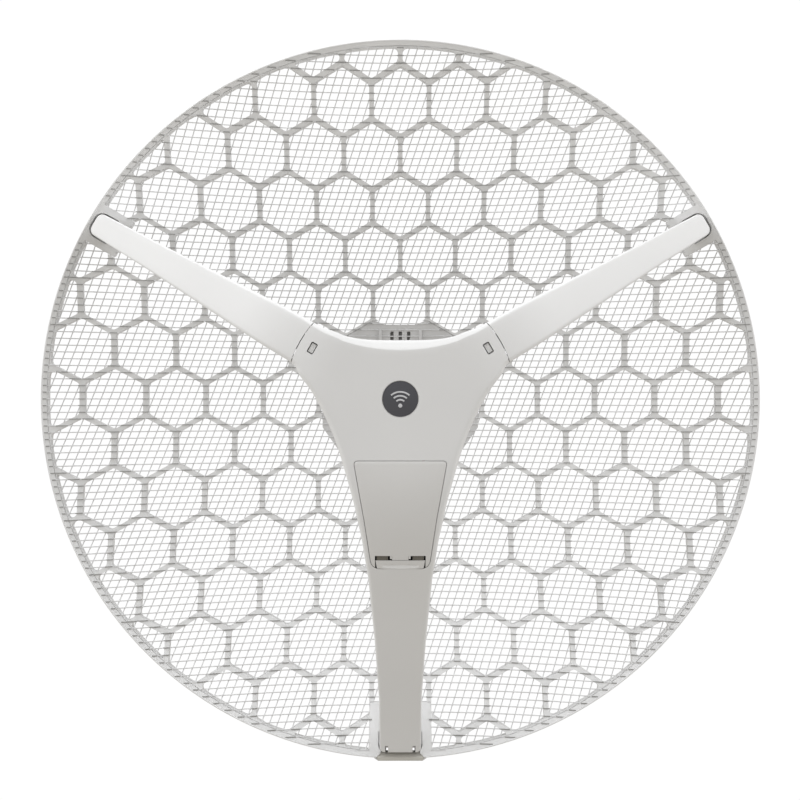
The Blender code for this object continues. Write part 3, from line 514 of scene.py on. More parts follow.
def skin(bm, loops, capped=True):
    """Faces between closed loops of equal length, with a cap on the first and the last."""
    for one, two in zip(loops, loops[1:]):
        for a, b, c, d in zip(one, one[1:] + one[:1], two[1:] + two[:1], two):
            bm.faces.new((a, b, c, d))
    if capped:
        bm.faces.new(loops[0])
        bm.faces.new(loops[-1])


def turned_ring(profile, steps):
    """A closed profile of (radius, height) turned about the height axis."""
    bm = bmesh.new()
    ring = [bm.verts.new((r, 0, h)) for r, h in profile]
    closed = profile[0][0] > 1e-6
    pairs = zip(ring, ring[1:] + ring[:1]) if closed else zip(ring, ring[1:])
    for a, b in list(pairs):
        bm.edges.new((a, b))
    bmesh.ops.spin(bm, geom=bm.verts[:] + bm.edges[:], cent=(0, 0, 0), axis=(0, 0, 1), angle=2 * pi,
                   steps=steps, use_merge=True)
    bmesh.ops.remove_doubles(bm, verts=bm.verts[:], dist=1e-6)
    return bm


def filled(bm, outline, height, step):
    """Fills an outline of existing vertices with an even mesh that follows the height rule."""
    points = [(v.co.x, v.co.y) for v in outline]
    low = [min(p[i] for p in points) for i in (0, 1)]
    high = [max(p[i] for p in points) for i in (0, 1)]
    inner = []
    margin = moved_in(points, 0.4 * step)
    rows = int((high[1] - low[1]) / (step * 0.866)) + 1
    for row in range(rows + 1):
        y = low[1] + row * step * 0.866
        for column in range(int((high[0] - low[0]) / step) + 2):
            x = low[0] + (column + 0.5 * (row % 2)) * step
            if inside(margin, x, y):
                inner.append((x, y))
    coords = [Vector(p) for p in points + inner]
    count = len(points)
    edges = [(i, (i + 1) % count) for i in range(count)]
    verts, _, faces, origins, _, _ = delaunay_2d_cdt(coords, edges, [list(range(count))], 1, 1e-7)
    at = []
    for v, source in zip(verts, origins):
        if source and source[0] < count:
            at.append(outline[source[0]])
        else:
            at.append(bm.verts.new((v.x, v.y, height(hypot(v.x, v.y)))))
    for f in faces:
        corners = [at[i] for i in f]
        if len(set(corners)) == 3:
            bm.faces.new(corners)


CHAMFER = ((0.0, 0.66), (0.03, 0.61), (0.30, 0.42), (0.60, 0.22), (0.84, 0.058), (0.92, 0.014), (1.0, 0.0))


def shell_top(outline, fillets, height, step=0.004, rings=6, flats=None):
    """An open surface: the outline, an edge that is rounded or chamfered, and a filled middle."""
    bm = bmesh.new()
    normals = inwards(outline)
    flats = flats or [0.0] * len(outline)
    loops = []
    for k in range(rings + 1):
        angle = 0.5 * pi * k / rings
        loop = []
        for p, n, f, flat in zip(outline, normals, fillets, flats):
            inner, drop = 1 - cos(angle), 1 - sin(angle)
            if flat:
                inner += (CHAMFER[k][0] - inner) * flat
                drop += (CHAMFER[k][1] - drop) * flat
            x, y = p[0] + n.x * f * inner, p[1] + n.y * f * inner
            loop.append(bm.verts.new((x, y, height(hypot(x, y)) - f * drop)))
        loops.append(loop)
    skin(bm, loops, capped=False)
    filled(bm, loops[-1], height, step)
    return bm


def solid_down(bm, base):
    """Closes an open surface with walls down to a base rule."""
    for v in extruded(bm):
        v.co.z = base(hypot(v.co.x, v.co.y))
    return bm


# ---------------------------------------------------------------- feed unit outline
def arm_half(r):
    return between(ARM_WIDTHS, r)


def unit_outline():
    """Right half of the whole Y outline from the lower tip up, then mirrored; with its edge radii."""
    right, soft, flat = [], [], []

    def add(points, radius, flatness=0.0):
        for p in points:
            right.append(p)
            soft.append(radius(p) if callable(radius) else radius)
            flat.append(flatness)

    def lower_fillet(p):
        return between(LOWER_FILLETS, -p[1])

    def arm_fillet(p):
        return between(ARM_FILLETS, hypot(*p))

    tip = between(LOWER_WIDTHS, ARM_TIP)
    corner = rounded([(0, -ARM_TIP), (tip, -ARM_TIP), (tip, -0.235)], [0, LOWER_ROUND, 0])[1:-1]
    add([(x * tip / 4, -ARM_TIP) for x in range(3)] + corner, 0.0012)
    low_run = (0.256, 0.247, 0.238, 0.2305, 0.2233, 0.213, 0.203, 0.193, 0.183, 0.1733, 0.164, 0.155,
               0.146, 0.137)
    add([(between(LOWER_WIDTHS, r), -r) for r in low_run], lower_fillet)
    spread = degrees(asin(arm_half(SEAM_RADIUS) / SEAM_RADIUS))
    low, high = polar(SEAM_RADIUS, 30 - spread), polar(SEAM_RADIUS, 30 + spread)
    outer_low = turned([(0.104, -arm_half(0.104))], 30)[0]
    side = [(between(LOWER_WIDTHS, r), -r) for r in (0.137, 0.1262, 0.111, 0.0967, 0.0820, 0.0685)]
    way = curve(side + list(SIDE_SCOOP[::-1]) + [low, outer_low], 5)
    for i, p in enumerate(way):
        part = min(1, max(0, (p[1] + 0.055) / 0.035)) * min(1, max(0, (0.010 - p[1]) / 0.012))
        add([p], (1 - part) * (lower_fillet(p) if p[1] < -0.02 else arm_fillet(p)) + part * SIDE_FILLET)
    stations = [0.085 + 0.0085 * i for i in range(18)]
    add(turned([(r, -arm_half(r)) for r in stations], 30), arm_fillet)
    tip = arm_half(ARM_TIP)
    ends = rounded([(0.235, -arm_half(0.235)), (ARM_TIP, -tip), (ARM_TIP, tip), (0.235, arm_half(0.235))],
                   [0, TIP_ROUND, TIP_ROUND, 0])[1:-1]
    near_end = (0.2385, 0.247, 0.256)
    ends = [(r, -arm_half(r)) for r in near_end] + ends + [(r, arm_half(r)) for r in near_end[::-1]]
    add(turned(ends, 30), 0.0012)
    add(turned([(r, arm_half(r)) for r in stations[::-1]], 30), arm_fillet)
    outer_high = turned([(0.104, arm_half(0.104))], 30)[0]
    scoop = list(TOP_SCOOP) + [(0.0, 0.0401), (-0.0221, 0.0405)]
    for p in curve([outer_high, high] + scoop, 6):
        size = TOP_CHAMFER[0] + TOP_CHAMFER[1] * exp(-(p[0] / TOP_CHAMFER[2]) ** 2)
        add([p], size, min(1.0, max(0.0, (0.066 - abs(p[0])) / 0.020)))
    return right + mirrored(right)[1:-1], soft + soft[::-1][1:-1], flat + flat[::-1][1:-1]


UNIT, UNIT_SOFT, UNIT_FLAT = unit_outline()
INNER = moved_in(UNIT, WALL)
INNER_SOFT = [max(0.0004, f - WALL) for f in UNIT_SOFT]


def unit_solid(base):
    return solid_down(shell_top(UNIT, UNIT_SOFT, front, flats=UNIT_FLAT), base)


def unit_hollow(extra=0.01):
    return solid_down(
        shell_top(INNER, INNER_SOFT, lambda r: front(r) - WALL, 0.006, 2), lambda r: back(r) - extra)


def beyond_seam(angle, radius):
    """Plan of everything past the seam along one side arm."""
    arc = [polar(radius, 24 - 48 * k / 12) for k in range(13)]
    return turned(arc + [(0.30, -0.07), (0.30, 0.07)], angle)


def within_seams():
    """Plan of everything on the near side of both seams, the lower arm included."""
    radius = SEAM_RADIUS - SEAM_GAP / 2
    seam = [polar(radius, 6 + 4 * k) for k in range(13)]
    right = [(0, -0.30), (0.10, -0.30), (0.10, -0.02), *seam, (0.05, 0.10)]
    return right + mirrored(right)[:-1]


def door_outline():
    corners = [*DOOR_CORNERS, *mirrored(DOOR_CORNERS)]
    return spaced(rounded(corners, [*DOOR_ROUND, *DOOR_ROUND[::-1]])[::-1], 0.0045)


DOOR = door_outline()


def housing():
    steps = [(CUT, unit_hollow()), (KEEP, slab(within_seams(), -0.1, 0.2))]
    cutters = [slab(moved_in(DOOR, -DOOR_GAP), 0.03, 0.14)]
    seat = EMBLEM_RADIUS + 0.0004
    cutters.append(rod(seat, (0, 0, PLATE_HEIGHT - 0.0008), (0, 0, PLATE_HEIGHT + 0.01), 72))
    half_r, half_t = LATCH_WINDOW[0] / 2, LATCH_WINDOW[1] / 2
    for angle in ARM_ANGLES:
        low, high = (LATCH_RADIUS - half_r, -half_t, 0.08), (LATCH_RADIUS + half_r, half_t, 0.14)
        cutters.append(block(low, high, angle, corner=0.0009))
    for x in (-0.0104, 0.0104):
        cutters.append(block((x - 0.0011, -0.2735, -0.02), (x + 0.0011, -0.2630, 0.02)))
    steps.append((CUT, joined(*cutters)))
    return cut_with(unit_solid(parting), steps)


place("front_shell", housing(), PLASTIC, slot="housing_plastic", stands_for=("main_housing",))


def side_arm(left):
    """An open-backed arm with the tongue, nib and screw boss that join it to its neighbours."""
    angle = ARM_ANGLES[0]
    arm = cut_with(unit_solid(back), [
        (CUT, unit_hollow()),
        (KEEP, slab(beyond_seam(angle, SEAM_RADIUS + SEAM_GAP / 2), -0.1, 0.2))])
    tongue_top = front(SEAM_RADIUS) - 0.0042
    tongue = block((0.0640, -0.0060, tongue_top - 0.0026), (0.0835, 0.0060, tongue_top), angle, 0.0004)
    nib = block((LATCH_RADIUS - 0.0018, -0.0033, tongue_top - 0.0018),
                (LATCH_RADIUS + 0.0018, 0.0033, front(LATCH_RADIUS) - 0.0012), angle, 0.0004)
    spot = polar(ARM_SCREW_AT, angle)
    boss = rod(0.0042, (*spot, back(ARM_SCREW_AT) + 0.003), (*spot, front(0.2557) - 0.0012))
    whole = joined(arm, tongue, nib, boss)
    if left:
        bmesh.ops.scale(whole, vec=(-1, 1, 1), verts=whole.verts[:])
    return whole


for side in ("right", "left"):
    place(f"arm_shell_{side}", side_arm(side == "left"), PLASTIC, slot="housing_plastic",
          stands_for=(f"side_arm_{side}",))


# ---------------------------------------------------------------- door, latch and emblem
def curved_panel(outline, height, thick, edge, step=0.0035):
    top = shell_top(outline, [edge] * len(outline), height, step, 2)
    return solid_down(top, lambda r: height(r) - thick)


SLOT_DEPTH = front(0.1103) - 0.0021  # height of the floors of the door's slots
# Dark brown: painted shade on the floors of the door's slots.
SLOT_FLOOR_SHADE = moulded("slot_floor_painted_shade", (0.17, 0.157, 0.13))
# Lighter plastic: painted highlight on the thumb recess's lower flank.
RECESS_HIGHLIGHT_PLASTIC = moulded("recess_painted_highlight", (0.86, 0.857, 0.85), (0.30, 0.38))


def slot_pair(from_x, to_x, low_z, high_z, low=SLOT_DEPTH - 0.0002, high=SLOT_DEPTH + 0.0002):
    """A block on the right half of the door and the same on the left."""
    return joined(block((from_x, low_z, low), (to_x, high_z, high)),
                  block((-to_x, low_z, low), (-from_x, high_z, high)))


def door_panel():
    """The door with a slot and a small notch on each side, and room for its latch."""
    from_x, to_x, low_z, high_z = DOOR_SLOTS
    foot_x, foot_to, foot_z = SLOT_FOOT
    spans = ((from_x, to_x, low_z, high_z), (foot_x, foot_to, low_z + 0.0001, foot_z),
             (foot_x, foot_x + 0.0002, foot_z - 0.0001, high_z))
    latch_room = block((-LATCH_HALF - GAP, -0.14, 0.0), (LATCH_HALF + GAP, LATCH_TOP + GAP, 0.2))
    tools = [slot_pair(*span, SLOT_DEPTH, 0.2) for span in spans] + [latch_room]
    return cut_with(curved_panel(DOOR, front, DOOR_THICK, 0.0004), [(CUT, tool) for tool in tools])


# Thin dark plates on the slots' floors: painted shade inside the slots.
def slot_floors():
    from_x, to_x, low_z, high_z = DOOR_SLOTS
    return slot_pair(from_x + 0.0015, to_x - 0.0013, low_z + 0.0003, high_z - 0.0001, high=SLOT_DEPTH + 0.0003)


def slot_shade_blocks():
    """Black blocks at both ends of each slot: painted shade where the slots look deep."""
    from_x, to_x, low_z, high_z = DOOR_SLOTS
    shade_spans = ((SLOT_FOOT[0] + 0.0001, from_x - 0.0001, SLOT_FOOT[2]), (from_x, from_x + 0.0014, high_z),
             (to_x - 0.0012, to_x, high_z))
    return joined(*[slot_pair(one, two, low_z + 0.0003, top - 0.0001) for one, two, top in shade_spans])


place("door_slot_floors", slot_floors(), SLOT_FLOOR_SHADE, body="door", slot="housing_plastic")
place("door_slot_shade_blocks", slot_shade_blocks(), PAINTED_BLACK, body="door", slot="housing_plastic")
place("door_panel", door_panel(), DOOR_PLASTIC, body="door", slot="housing_plastic",
      stands_for=("cable_door",))


def recess_depth(x, z):
    """Depth of the thumb recess: a sharp upper lip, then a flank that rises to the latch's foot."""
    reach, lip, foot = 0.0130, -0.1148, -0.1179
    across = max(0.0, 1 - (x / reach) ** 2)
    bow = 0.0008 * (1 - across)
    if z > lip - bow or not across:
        return 0.0
    low = lip - bow - 0.0003
    end = foot + bow
    part = (lip - bow - z) / 0.0003 if z > low else max(0.0, (z - end) / max(1e-6, low - end))
    return 0.0019 * across**0.5 * part


def latch():
    """A springy bar that fills the door's foot, with a thumb recess and a back that is cut short."""
    lower = sorted(p for p in DOOR if p[1] < LATCH_TOP - 0.0008 and abs(p[0]) < LATCH_HALF)
    closed = [(x, z - 0.00025 if abs(x) < LATCH_CLOSED else z) for x, z in lower]
    plan = [(-LATCH_HALF, LATCH_TOP), *closed, (LATCH_HALF, LATCH_TOP)]
    bm = curved_panel(spaced(plan, 0.0008), lambda r: front(r) - 0.00005, DOOR_THICK - 0.0003, 0.0001, 0.0004)
    for v in bm.verts:
        x, z = v.co.x, v.co.y
        if v.co.z < front(hypot(x, z)) - 0.0012:
            v.co.y = LATCH_TOP + (z - LATCH_TOP) * 0.86
        v.co.z -= recess_depth(x, z)
    return bm


bar = place("latch_bar", latch(), DOOR_PLASTIC, body="latch", slot="housing_plastic",
            stands_for=("door_latch",))
bar.data.materials.append(RECESS_HIGHLIGHT_PLASTIC)
# Forward-facing faces in the recess's lower part get the lighter plastic: a painted highlight on the flank.
for face in bar.data.polygons:
    spot = face.center
    highlight_zone = recess_depth(spot.x, spot.z) > 0.0001 and spot.z < -0.1151
    face.material_index = int(face.normal.y < -0.3 and highlight_zone)

disc_top = PLATE_HEIGHT - 0.0002
disc = turned_ring([
    (0, disc_top), (EMBLEM_RADIUS - 0.0004, disc_top), (EMBLEM_RADIUS - 0.0001, disc_top - 0.00012),
    (EMBLEM_RADIUS, disc_top - 0.0004), (EMBLEM_RADIUS, PLATE_HEIGHT - 0.0006),
    (0, PLATE_HEIGHT - 0.0006)], 96)
place("emblem_disc", disc, EMBLEM, slot="emblem", stands_for=("front_emblem",))


def arc_bar(radius, half, sweep, low, high):
    """A thin curved bar with straight ends about the emblem's foot."""
    steps = 14
    outer = [polar(radius + half, 90 - sweep + 2 * sweep * k / steps) for k in range(steps + 1)]
    inner = [polar(radius - half, 90 + sweep - 2 * sweep * k / steps) for k in range(steps + 1)]
    return slab([(x, y - 0.0046) for x, y in outer + inner], low, high, 0.00006)


marks = [arc_bar(r, 0.00055, 42, disc_top - 0.0001, PLATE_HEIGHT) for r in (0.0040, 0.0067, 0.0094)]
dot = [polar(0.0014, 360 * k / 28) for k in range(28)]
marks.append(slab([(x, y - 0.0046) for x, y in dot], disc_top - 0.0001, PLATE_HEIGHT, 0.00006))
place("emblem_arcs", joined(*marks), EMBLEM_MARK, slot="emblem")


# ---------------------------------------------------------------- rear cover of the feed unit
def rear_cover():
    """A shallow tray whose back edge is rounded."""
    def top(r):
        return parting(r) - GAP

    upside = shell_top(UNIT, [min(0.0030, f + 0.0006) for f in UNIT_SOFT], lambda r: -back(r), 0.005, 4)
    bmesh.ops.scale(upside, vec=(1, 1, -1), verts=upside.verts[:])
    solid = solid_down(upside, top)
    inner = bmesh.new()
    loop = [inner.verts.new((x, y, back(hypot(x, y)) + 0.0020)) for x, y in moved_in(UNIT, 0.0020)]
    filled(inner, loop, lambda r: back(r) + 0.0020, 0.006)
    inner = solid_down(inner, lambda r: parting(r) + 0.01)
    cutters = [block((-EXIT_HALF, -0.28, EXIT[0]), (EXIT_HALF, -0.2662, 0.0)),
               rod(SCREW_BORE, (0, -ARM_SCREW_AT, -0.03), (0, -ARM_SCREW_AT, back(ARM_SCREW_AT) + 0.004))]
    return cut_with(solid, [(CUT, inner), (KEEP, slab(within_seams(), -0.1, 0.2)),
                            (CUT, joined(*cutters))])


place("back_shell", rear_cover(), PLASTIC, slot="housing_plastic", stands_for=("rear_cover",))


# ---------------------------------------------------------------- rim with its three sockets and its foot
def socket_bore(angle):
    return (between(LOWER_WIDTHS, 0.255) if angle == 270 else between(ARM_WIDTHS, 0.245)) + 0.0008


def socket_half(angle):
    return socket_bore(angle) + (FOOT_WALL if angle == 270 else SOCKET_WALL)


SOCKETS = (*ARM_ANGLES, 270)


def socket_block(angle):
    """A block under the rim whose front lies in the dish's surface."""
    half, inner = socket_half(angle), SOCKET_INNER[angle]
    bm = block((inner, -half, 0.0), (SOCKET_OUTER, half, 1.0), corner=0.0015)
    for v in bm.verts:
        v.co.z = dish(v.co.x) - 0.0004 if v.co.z > 0.5 else SOCKET_BASE[angle]
    edges = [e for e in bm.edges if abs(e.verts[0].co.z - e.verts[1].co.z) < 0.02]
    bmesh.ops.bevel(bm, geom=edges, offset=0.0005, segments=2, profile=0.5, affect="EDGES")
    bmesh.ops.rotate(bm, cent=(0, 0, 0), matrix=Matrix.Rotation(radians(angle), 3, "Z"), verts=bm.verts[:])
    return bm


def socket_hollow(angle):
    widths = LOWER_WIDTHS if angle == 270 else ARM_WIDTHS
    step = 0.2560
    inner, outer = SOCKET_INNER[angle] - 0.01, ARM_TIP + (0.0011 if angle == 270 else 0.0025)
    near, far = between(widths, inner) + 0.0005, between(widths, step) + 0.0005
    one, two = between(widths, step) + 0.0013, between(widths, ARM_TIP) + 0.0013
    soft = (LOWER_ROUND if angle == 270 else TIP_ROUND) + 0.0012
    plan = rounded([(inner, -near), (step, -far), (step, -one), (outer, -two),
                    (outer, two), (step, one), (step, far), (inner, near)], [0, 0, 0, soft, soft, 0, 0, 0])
    return slab(turned(plan, angle), SOCKET_BASE[angle] + SOCKET_FLOOR, 0.02)


def rim():
    """The rolled ring, its three sockets and its foot, less the bores, the outlet and the pad's room."""
    outer, inner = RIM_RADIUS, RIM_RADIUS - RIM_BAND
    bead = outer - BEAD
    profile = rounded(
        [(outer, 0), (outer, -0.0085), (outer - 0.0022, -RIM_BACK), (inner, -RIM_BACK),
         (inner, dish(inner) - 0.0007), (bead - 0.0003, dish(bead) - 0.0007), (bead + 0.0001, 0)],
        [0.0005, 0.0012, 0.0008, 0.0006, 0.0003, 0.0001, 0.0005], 4)
    ring = turned_ring(profile, 288)
    spots = [polar(ARM_SCREW_AT, angle) for angle in SOCKETS]
    holes = [rod(SCREW_BORE, (*spot, -0.035), (*spot, -0.021)) for spot in spots]
    foot = [(-FOOT_HALF - 0.003, 0.0), (-FOOT_HALF, -FOOT_DROP), (FOOT_HALF, -FOOT_DROP),
            (FOOT_HALF + 0.003, 0.0), (FOOT_HALF, 0.004), (-FOOT_HALF, 0.004)]
    plan = [(x, y - RIM_RADIUS) for x, y in foot]
    edge = [(half + 0.0001, -r) for r, half in ((0.2660, PAD_HALVES[0][1]), *PAD_HALVES)]
    pad_room = edge + mirrored(edge)
    outlet_low, outlet_high = SOCKET_BASE[270] + SOCKET_FLOOR, EXIT[1]
    return cut_with(ring, [
        (ADD, joined(*[socket_block(angle) for angle in SOCKETS])),
        (ADD, slab(plan, -0.0088, -0.0012, 0.0004)),
        (CUT, joined(*[socket_hollow(angle) for angle in SOCKETS])),
        (CUT, joined(*holes)),
        (CUT, block((-EXIT_HALF, -0.29, outlet_low), (EXIT_HALF, -0.2690, outlet_high))),
        (CUT, slab(pad_room, -0.0082, 0.02))])


place("rim_ring", rim(), COAT, slot="coated_metal", stands_for=("reflector_rim",))


def foot_shade_pad():
    """A darker warm grey plate on the rim's foot whose upper edge slopes down behind the arm's tip; its tone is
    partly the foot's own plastic and partly painted shade under the arm.
    """
    side = [(-0.2703, -0.0080), (-0.2758, -0.0080), (-0.2758, -0.0012), (-0.2753, -0.0002),
            (-0.2730, -0.0002), (-0.2716, -0.0022), (-0.2703, -0.0070)]
    bm = slab(side, -1, 1)
    for v in bm.verts:
        v.co.z *= between(PAD_HALVES, -v.co.x)
    on_side = Matrix(((0, 0, 1, 0), (1, 0, 0, 0), (0, 1, 0, 0), (0, 0, 0, 1)))
    bmesh.ops.transform(bm, matrix=on_side, verts=bm.verts[:])
    return bm


# Warm grey darkened to the shaded strip's tone: partly own tone, partly painted shade.
FOOT_SHADE_PLASTIC = moulded("foot_moulding_with_shade", (0.56, 0.542, 0.495))
place("foot_shade_pad", foot_shade_pad(), FOOT_SHADE_PLASTIC, slot="housing_plastic")


# ---------------------------------------------------------------- hexagonal ribs
def socket_plan(angle, margin):
    half, inner = socket_half(angle) + margin, SOCKET_INNER[angle] - margin
    return turned([(inner, -half), (0.30, -half), (0.30, half), (inner, half)], angle)


def hub_outline(radius):
    angles = [90 - a for a in HUB_ANGLES[::-1]] + [90 + a for a in HUB_ANGLES]
    angles += [a + 180 for a in angles]
    return [polar(radius, a) for a in angles]


CELL_CORNER = CELL_PITCH / sqrt(3)


def cell_centres():
    """The middles of all cells that may reach the disc, row by row."""
    reach = int(RIM_RADIUS / CELL_PITCH) + 2
    return [(CELL_PITCH * (column + 0.5 * (row % 2)), row * CELL_CORNER * 1.5)
            for row in range(-reach - 2, reach + 3) for column in range(-reach - 1, reach + 2)]


def cell_at(x, y, size):
    return [(x + size * sin(pi / 3 * k), y - size * cos(pi / 3 * k)) for k in range(6)]


def ribs():
    """The disc less one rounded hole for each cell, raised to the ribs' depth and bent to the dish."""
    edge = RIM_RADIUS - RIM_BAND - GAP
    bm = bmesh.new()

    def loop(points):
        verts = [bm.verts.new((x, y, 0)) for x, y in points]
        for a, b in zip(verts, verts[1:] + verts[:1]):
            bm.edges.new((a, b))

    loop([polar(edge, 360 * k / 192) for k in range(192)])
    for x, y in cell_centres():
        cell = clipped(cell_at(x, y, CELL_CORNER - RIB_WIDTH / sqrt(3)), 96, edge - 0.0005)
        if len(cell) < 3 or abs(area(cell)) < 3.5e-5:
            continue
        apart = [dist(p, q) for p, q in zip(cell, cell[-1:] + cell[:-1])]
        kept = [p for p, gap in zip(cell, apart) if gap > 0.0012]
        if len(kept) > 2:
            loop(spaced(rounded(kept, CELL_ROUND, 4), 0.009))
    bmesh.ops.triangle_fill(bm, use_beauty=True, use_dissolve=False, edges=bm.edges[:])
    for v in bm.verts:
        v.co.z = dish(hypot(v.co.x, v.co.y)) - 0.0007
    bmesh.ops.translate(bm, verts=extruded(bm), vec=(0, 0, -RIB_DEPTH))
    cutters = [slab(hub_outline(HUB_RADIUS + GAP), -0.13, 0.0)]
    cutters += [slab(socket_plan(angle, GAP), -0.06, 0.03) for angle in SOCKETS]
    return cut_with(bm, [(CUT, joined(*cutters))])


place("hex_ribs", ribs(), COAT, slot="coated_metal", stands_for=("reflector_ribs",))


# ---------------------------------------------------------------- wires across the dish
def wires():
    """Level and slanted wires on the dish, ending on the rim's ledge and at the sockets."""
    bm = bmesh.new()
    plans = [socket_plan(angle, -0.0004) for angle in SOCKETS]

    def clear(x, y):
        return hypot(x, y) < WIRE_END and not any(inside(plan, x, y) for plan in plans)

    def tube(a, b, lift):
        count = max(1, int(dist(a, b) / 0.009))
        ahead = Vector((b[0] - a[0], b[1] - a[1], 0)).normalized()
        across = Vector((-ahead.y, ahead.x, 0))
        section = [across * (WIRE_RADIUS * cos(t)) + Vector((0, 0, WIRE_RADIUS * sin(t)))
                   for t in (pi / 3 * i for i in range(6))]
        rings = []
        for k in range(count + 1):
            x, y = along(a, b, k / count)
            centre = Vector((x, y, dish(hypot(x, y)) + lift))
            rings.append([bm.verts.new(centre + spoke) for spoke in section])
        skin(bm, rings)

    def crossing(good, bad):
        """Where the clear stretch ends, by halving."""
        for _ in range(12):
            middle = along(good, bad, 0.5)
            good, bad = (middle, bad) if clear(*middle) else (good, middle)
        return good

    def lay(start, end, lift):
        count = int(dist(start, end) / 0.002)
        path = [along(start, end, k / count) for k in range(count + 1)]
        run = None
        for here, after in zip(path, path[1:]):
            if clear(*after) and not clear(*here):
                run = crossing(after, here)
            elif clear(*here) and not clear(*after) and run:
                stop = crossing(here, after)
                if dist(run, stop) > 0.002:
                    tube(run, stop, lift)
                run = None

    rows = int(RIM_RADIUS / LEVEL_PITCH)
    for k in range(-rows, rows + 1):
        lay((-0.28, k * LEVEL_PITCH), (0.28, k * LEVEL_PITCH), -0.0006)
    columns = int(RIM_RADIUS * sqrt(1 + SLANT**2) / SLANT_PITCH) + 1
    for k in range(-columns, columns + 1):
        x = SLANT_START + k * SLANT_PITCH
        lay((x - 0.28 * SLANT, -0.28), (x + 0.28 * SLANT, 0.28), -0.0014)
    return bm


place("dish_wires", wires(), WIRE_COAT, slot="coated_metal", stands_for=("reflector_mesh",), smooth=80)


def shade_dashes():
    """Short level bars in a dark coat where the level wires cross a rib or run onto the rim's band; the dark
    coat is painted shade.
    """
    bm = bmesh.new()
    limit = RIM_RADIUS - RIM_BAND - 0.001
    plans = [socket_plan(angle, 0.001) for angle in SOCKETS] + [hub_outline(HUB_RADIUS)]
    section = [(-DASH_HALF, -0.0012), (DASH_HALF, -0.0012), (DASH_HALF, 0.00005), (-DASH_HALF, 0.00005)]
    seen = set()

    def bar(x, y, half):
        """A level bar whose front stands just proud of the ribs."""
        if any(inside(plan, x, y) for plan in plans):
            return
        rows = []
        for px in (x - half, x + half):
            h = dish(hypot(px, y))
            rows.append([bm.verts.new((px, y + side, h + lift)) for side, lift in section])
        skin(bm, rows)

    def crossed(a, b):
        """Every level wire that crosses the rib from a to b."""
        low, high = sorted((a[1], b[1]))
        half = min(0.0040, RIB_WIDTH / 2 * dist(a, b) / max(1e-6, high - low) + 0.0007)
        for k in range(int(low / LEVEL_PITCH) - 1, int(high / LEVEL_PITCH) + 2):
            y = k * LEVEL_PITCH
            if low < y < high:
                x = a[0] + (b[0] - a[0]) * (y - a[1]) / (b[1] - a[1])
                if hypot(x, y) < limit:
                    bar(x, y, half)

    for x, y in cell_centres():
        cell = cell_at(x, y, CELL_CORNER)
        for a, b in zip(cell, cell[1:] + cell[:1]):
            key = (round(a[0] + b[0], 4), round(a[1] + b[1], 4))
            if key not in seen and hypot(*key) < 2 * RIM_RADIUS + 0.05:
                seen.add(key)
                crossed(a, b)
    start, end = RIM_RADIUS - RIM_BAND + 0.0002, TICK_END
    for k in range(-int(start / LEVEL_PITCH), int(start / LEVEL_PITCH) + 1):
        y = k * LEVEL_PITCH
        for sign in (-1, 1):
            one, two = sqrt(start**2 - y**2), sqrt(max(0, end**2 - y**2))
            if two - one < 0.014:
                bar(sign * (one + two) / 2, y, (two - one) / 2)
    return bm


place("wire_shade_dashes", shade_dashes(), PAINTED_SHADE_COAT, slot="coated_metal")


# ---------------------------------------------------------------- hub plate behind the feed unit
def hub():
    """A plate on the dish's curve with a dip in its top and bottom edges, blind slots and a mounting pad."""
    plan = hub_outline(HUB_RADIUS)
    dip, foot_x, foot_z = 0.0610, 0.0124, 0.0205
    top = [(foot_z, 0.0641), (foot_x, dip), (-foot_x, dip), (-foot_z, 0.0641)]
    half = len(plan) // 2
    quarter = half // 2
    below = [(-x, -y) for x, y in top]
    plan = spaced(plan[:quarter] + top + plan[quarter:half + quarter] + below + plan[half + quarter:], 0.004)
    bm = bmesh.new()
    loop = [bm.verts.new((x, y, dish(hypot(x, y)) - 0.0009)) for x, y in plan]
    filled(bm, loop, lambda r: dish(r) - 0.0009, 0.006)
    floor_h = -DISH_DEPTH - 0.008
    bm = solid_down(bm, lambda r: max(floor_h, dish(r) - 0.008))
    slots = [block((x - 0.0014, 0.0485, dish(0.052) - 0.0062), (x + 0.0014, 0.0555, -0.05), corner=0.0005)
             for x in HUB_SLOTS]
    ridges = [block((x - 0.0012, 0.034, -0.094), (x + 0.0012, 0.057, dish(0.057) + 0.0008))
              for x in (-0.0165, 0.0165)]
    pad = block((-0.026, -0.030, floor_h), (0.026, 0.036, -DISH_DEPTH - 0.004), corner=0.003)
    pilots = [rod(SCREW_BORE, (sx * 0.0225, z, -0.12), (sx * 0.0225, z, -DISH_DEPTH - 0.0028), 20)
              for sx in (-1, 1) for z in (-0.020, 0.026)]
    return cut_with(bm, [(ADD, joined(*ridges)), (ADD, pad), (CUT, joined(*slots)),
                         (CUT, joined(*pilots))])


place("hub_plate", hub(), HUB_COAT, slot="coated_metal", stands_for=("reflector_hub",))
# Dark plates inside the hub's blind slots: painted shade of the deep slots.
shade_plate_low, shade_plate_high = dish(0.052) - 0.0060, dish(0.052) - 0.0052
shade_plates = [block((x - 0.0013, 0.0487, shade_plate_low), (x + 0.0013, 0.0553, shade_plate_high), corner=0.0004)
          for x in HUB_SLOTS]
place("slot_shade_plates", joined(*shade_plates), PAINTED_SHADE_COAT, slot="coated_metal")


# ---------------------------------------------------------------- fasteners and hose clamps
def axes(x, y, z, at):
    """A matrix whose columns are the given directions, placed at a point."""
    made = Matrix((x, y, z)).transposed().to_4x4()
    made.translation = Vector(at)
    return made


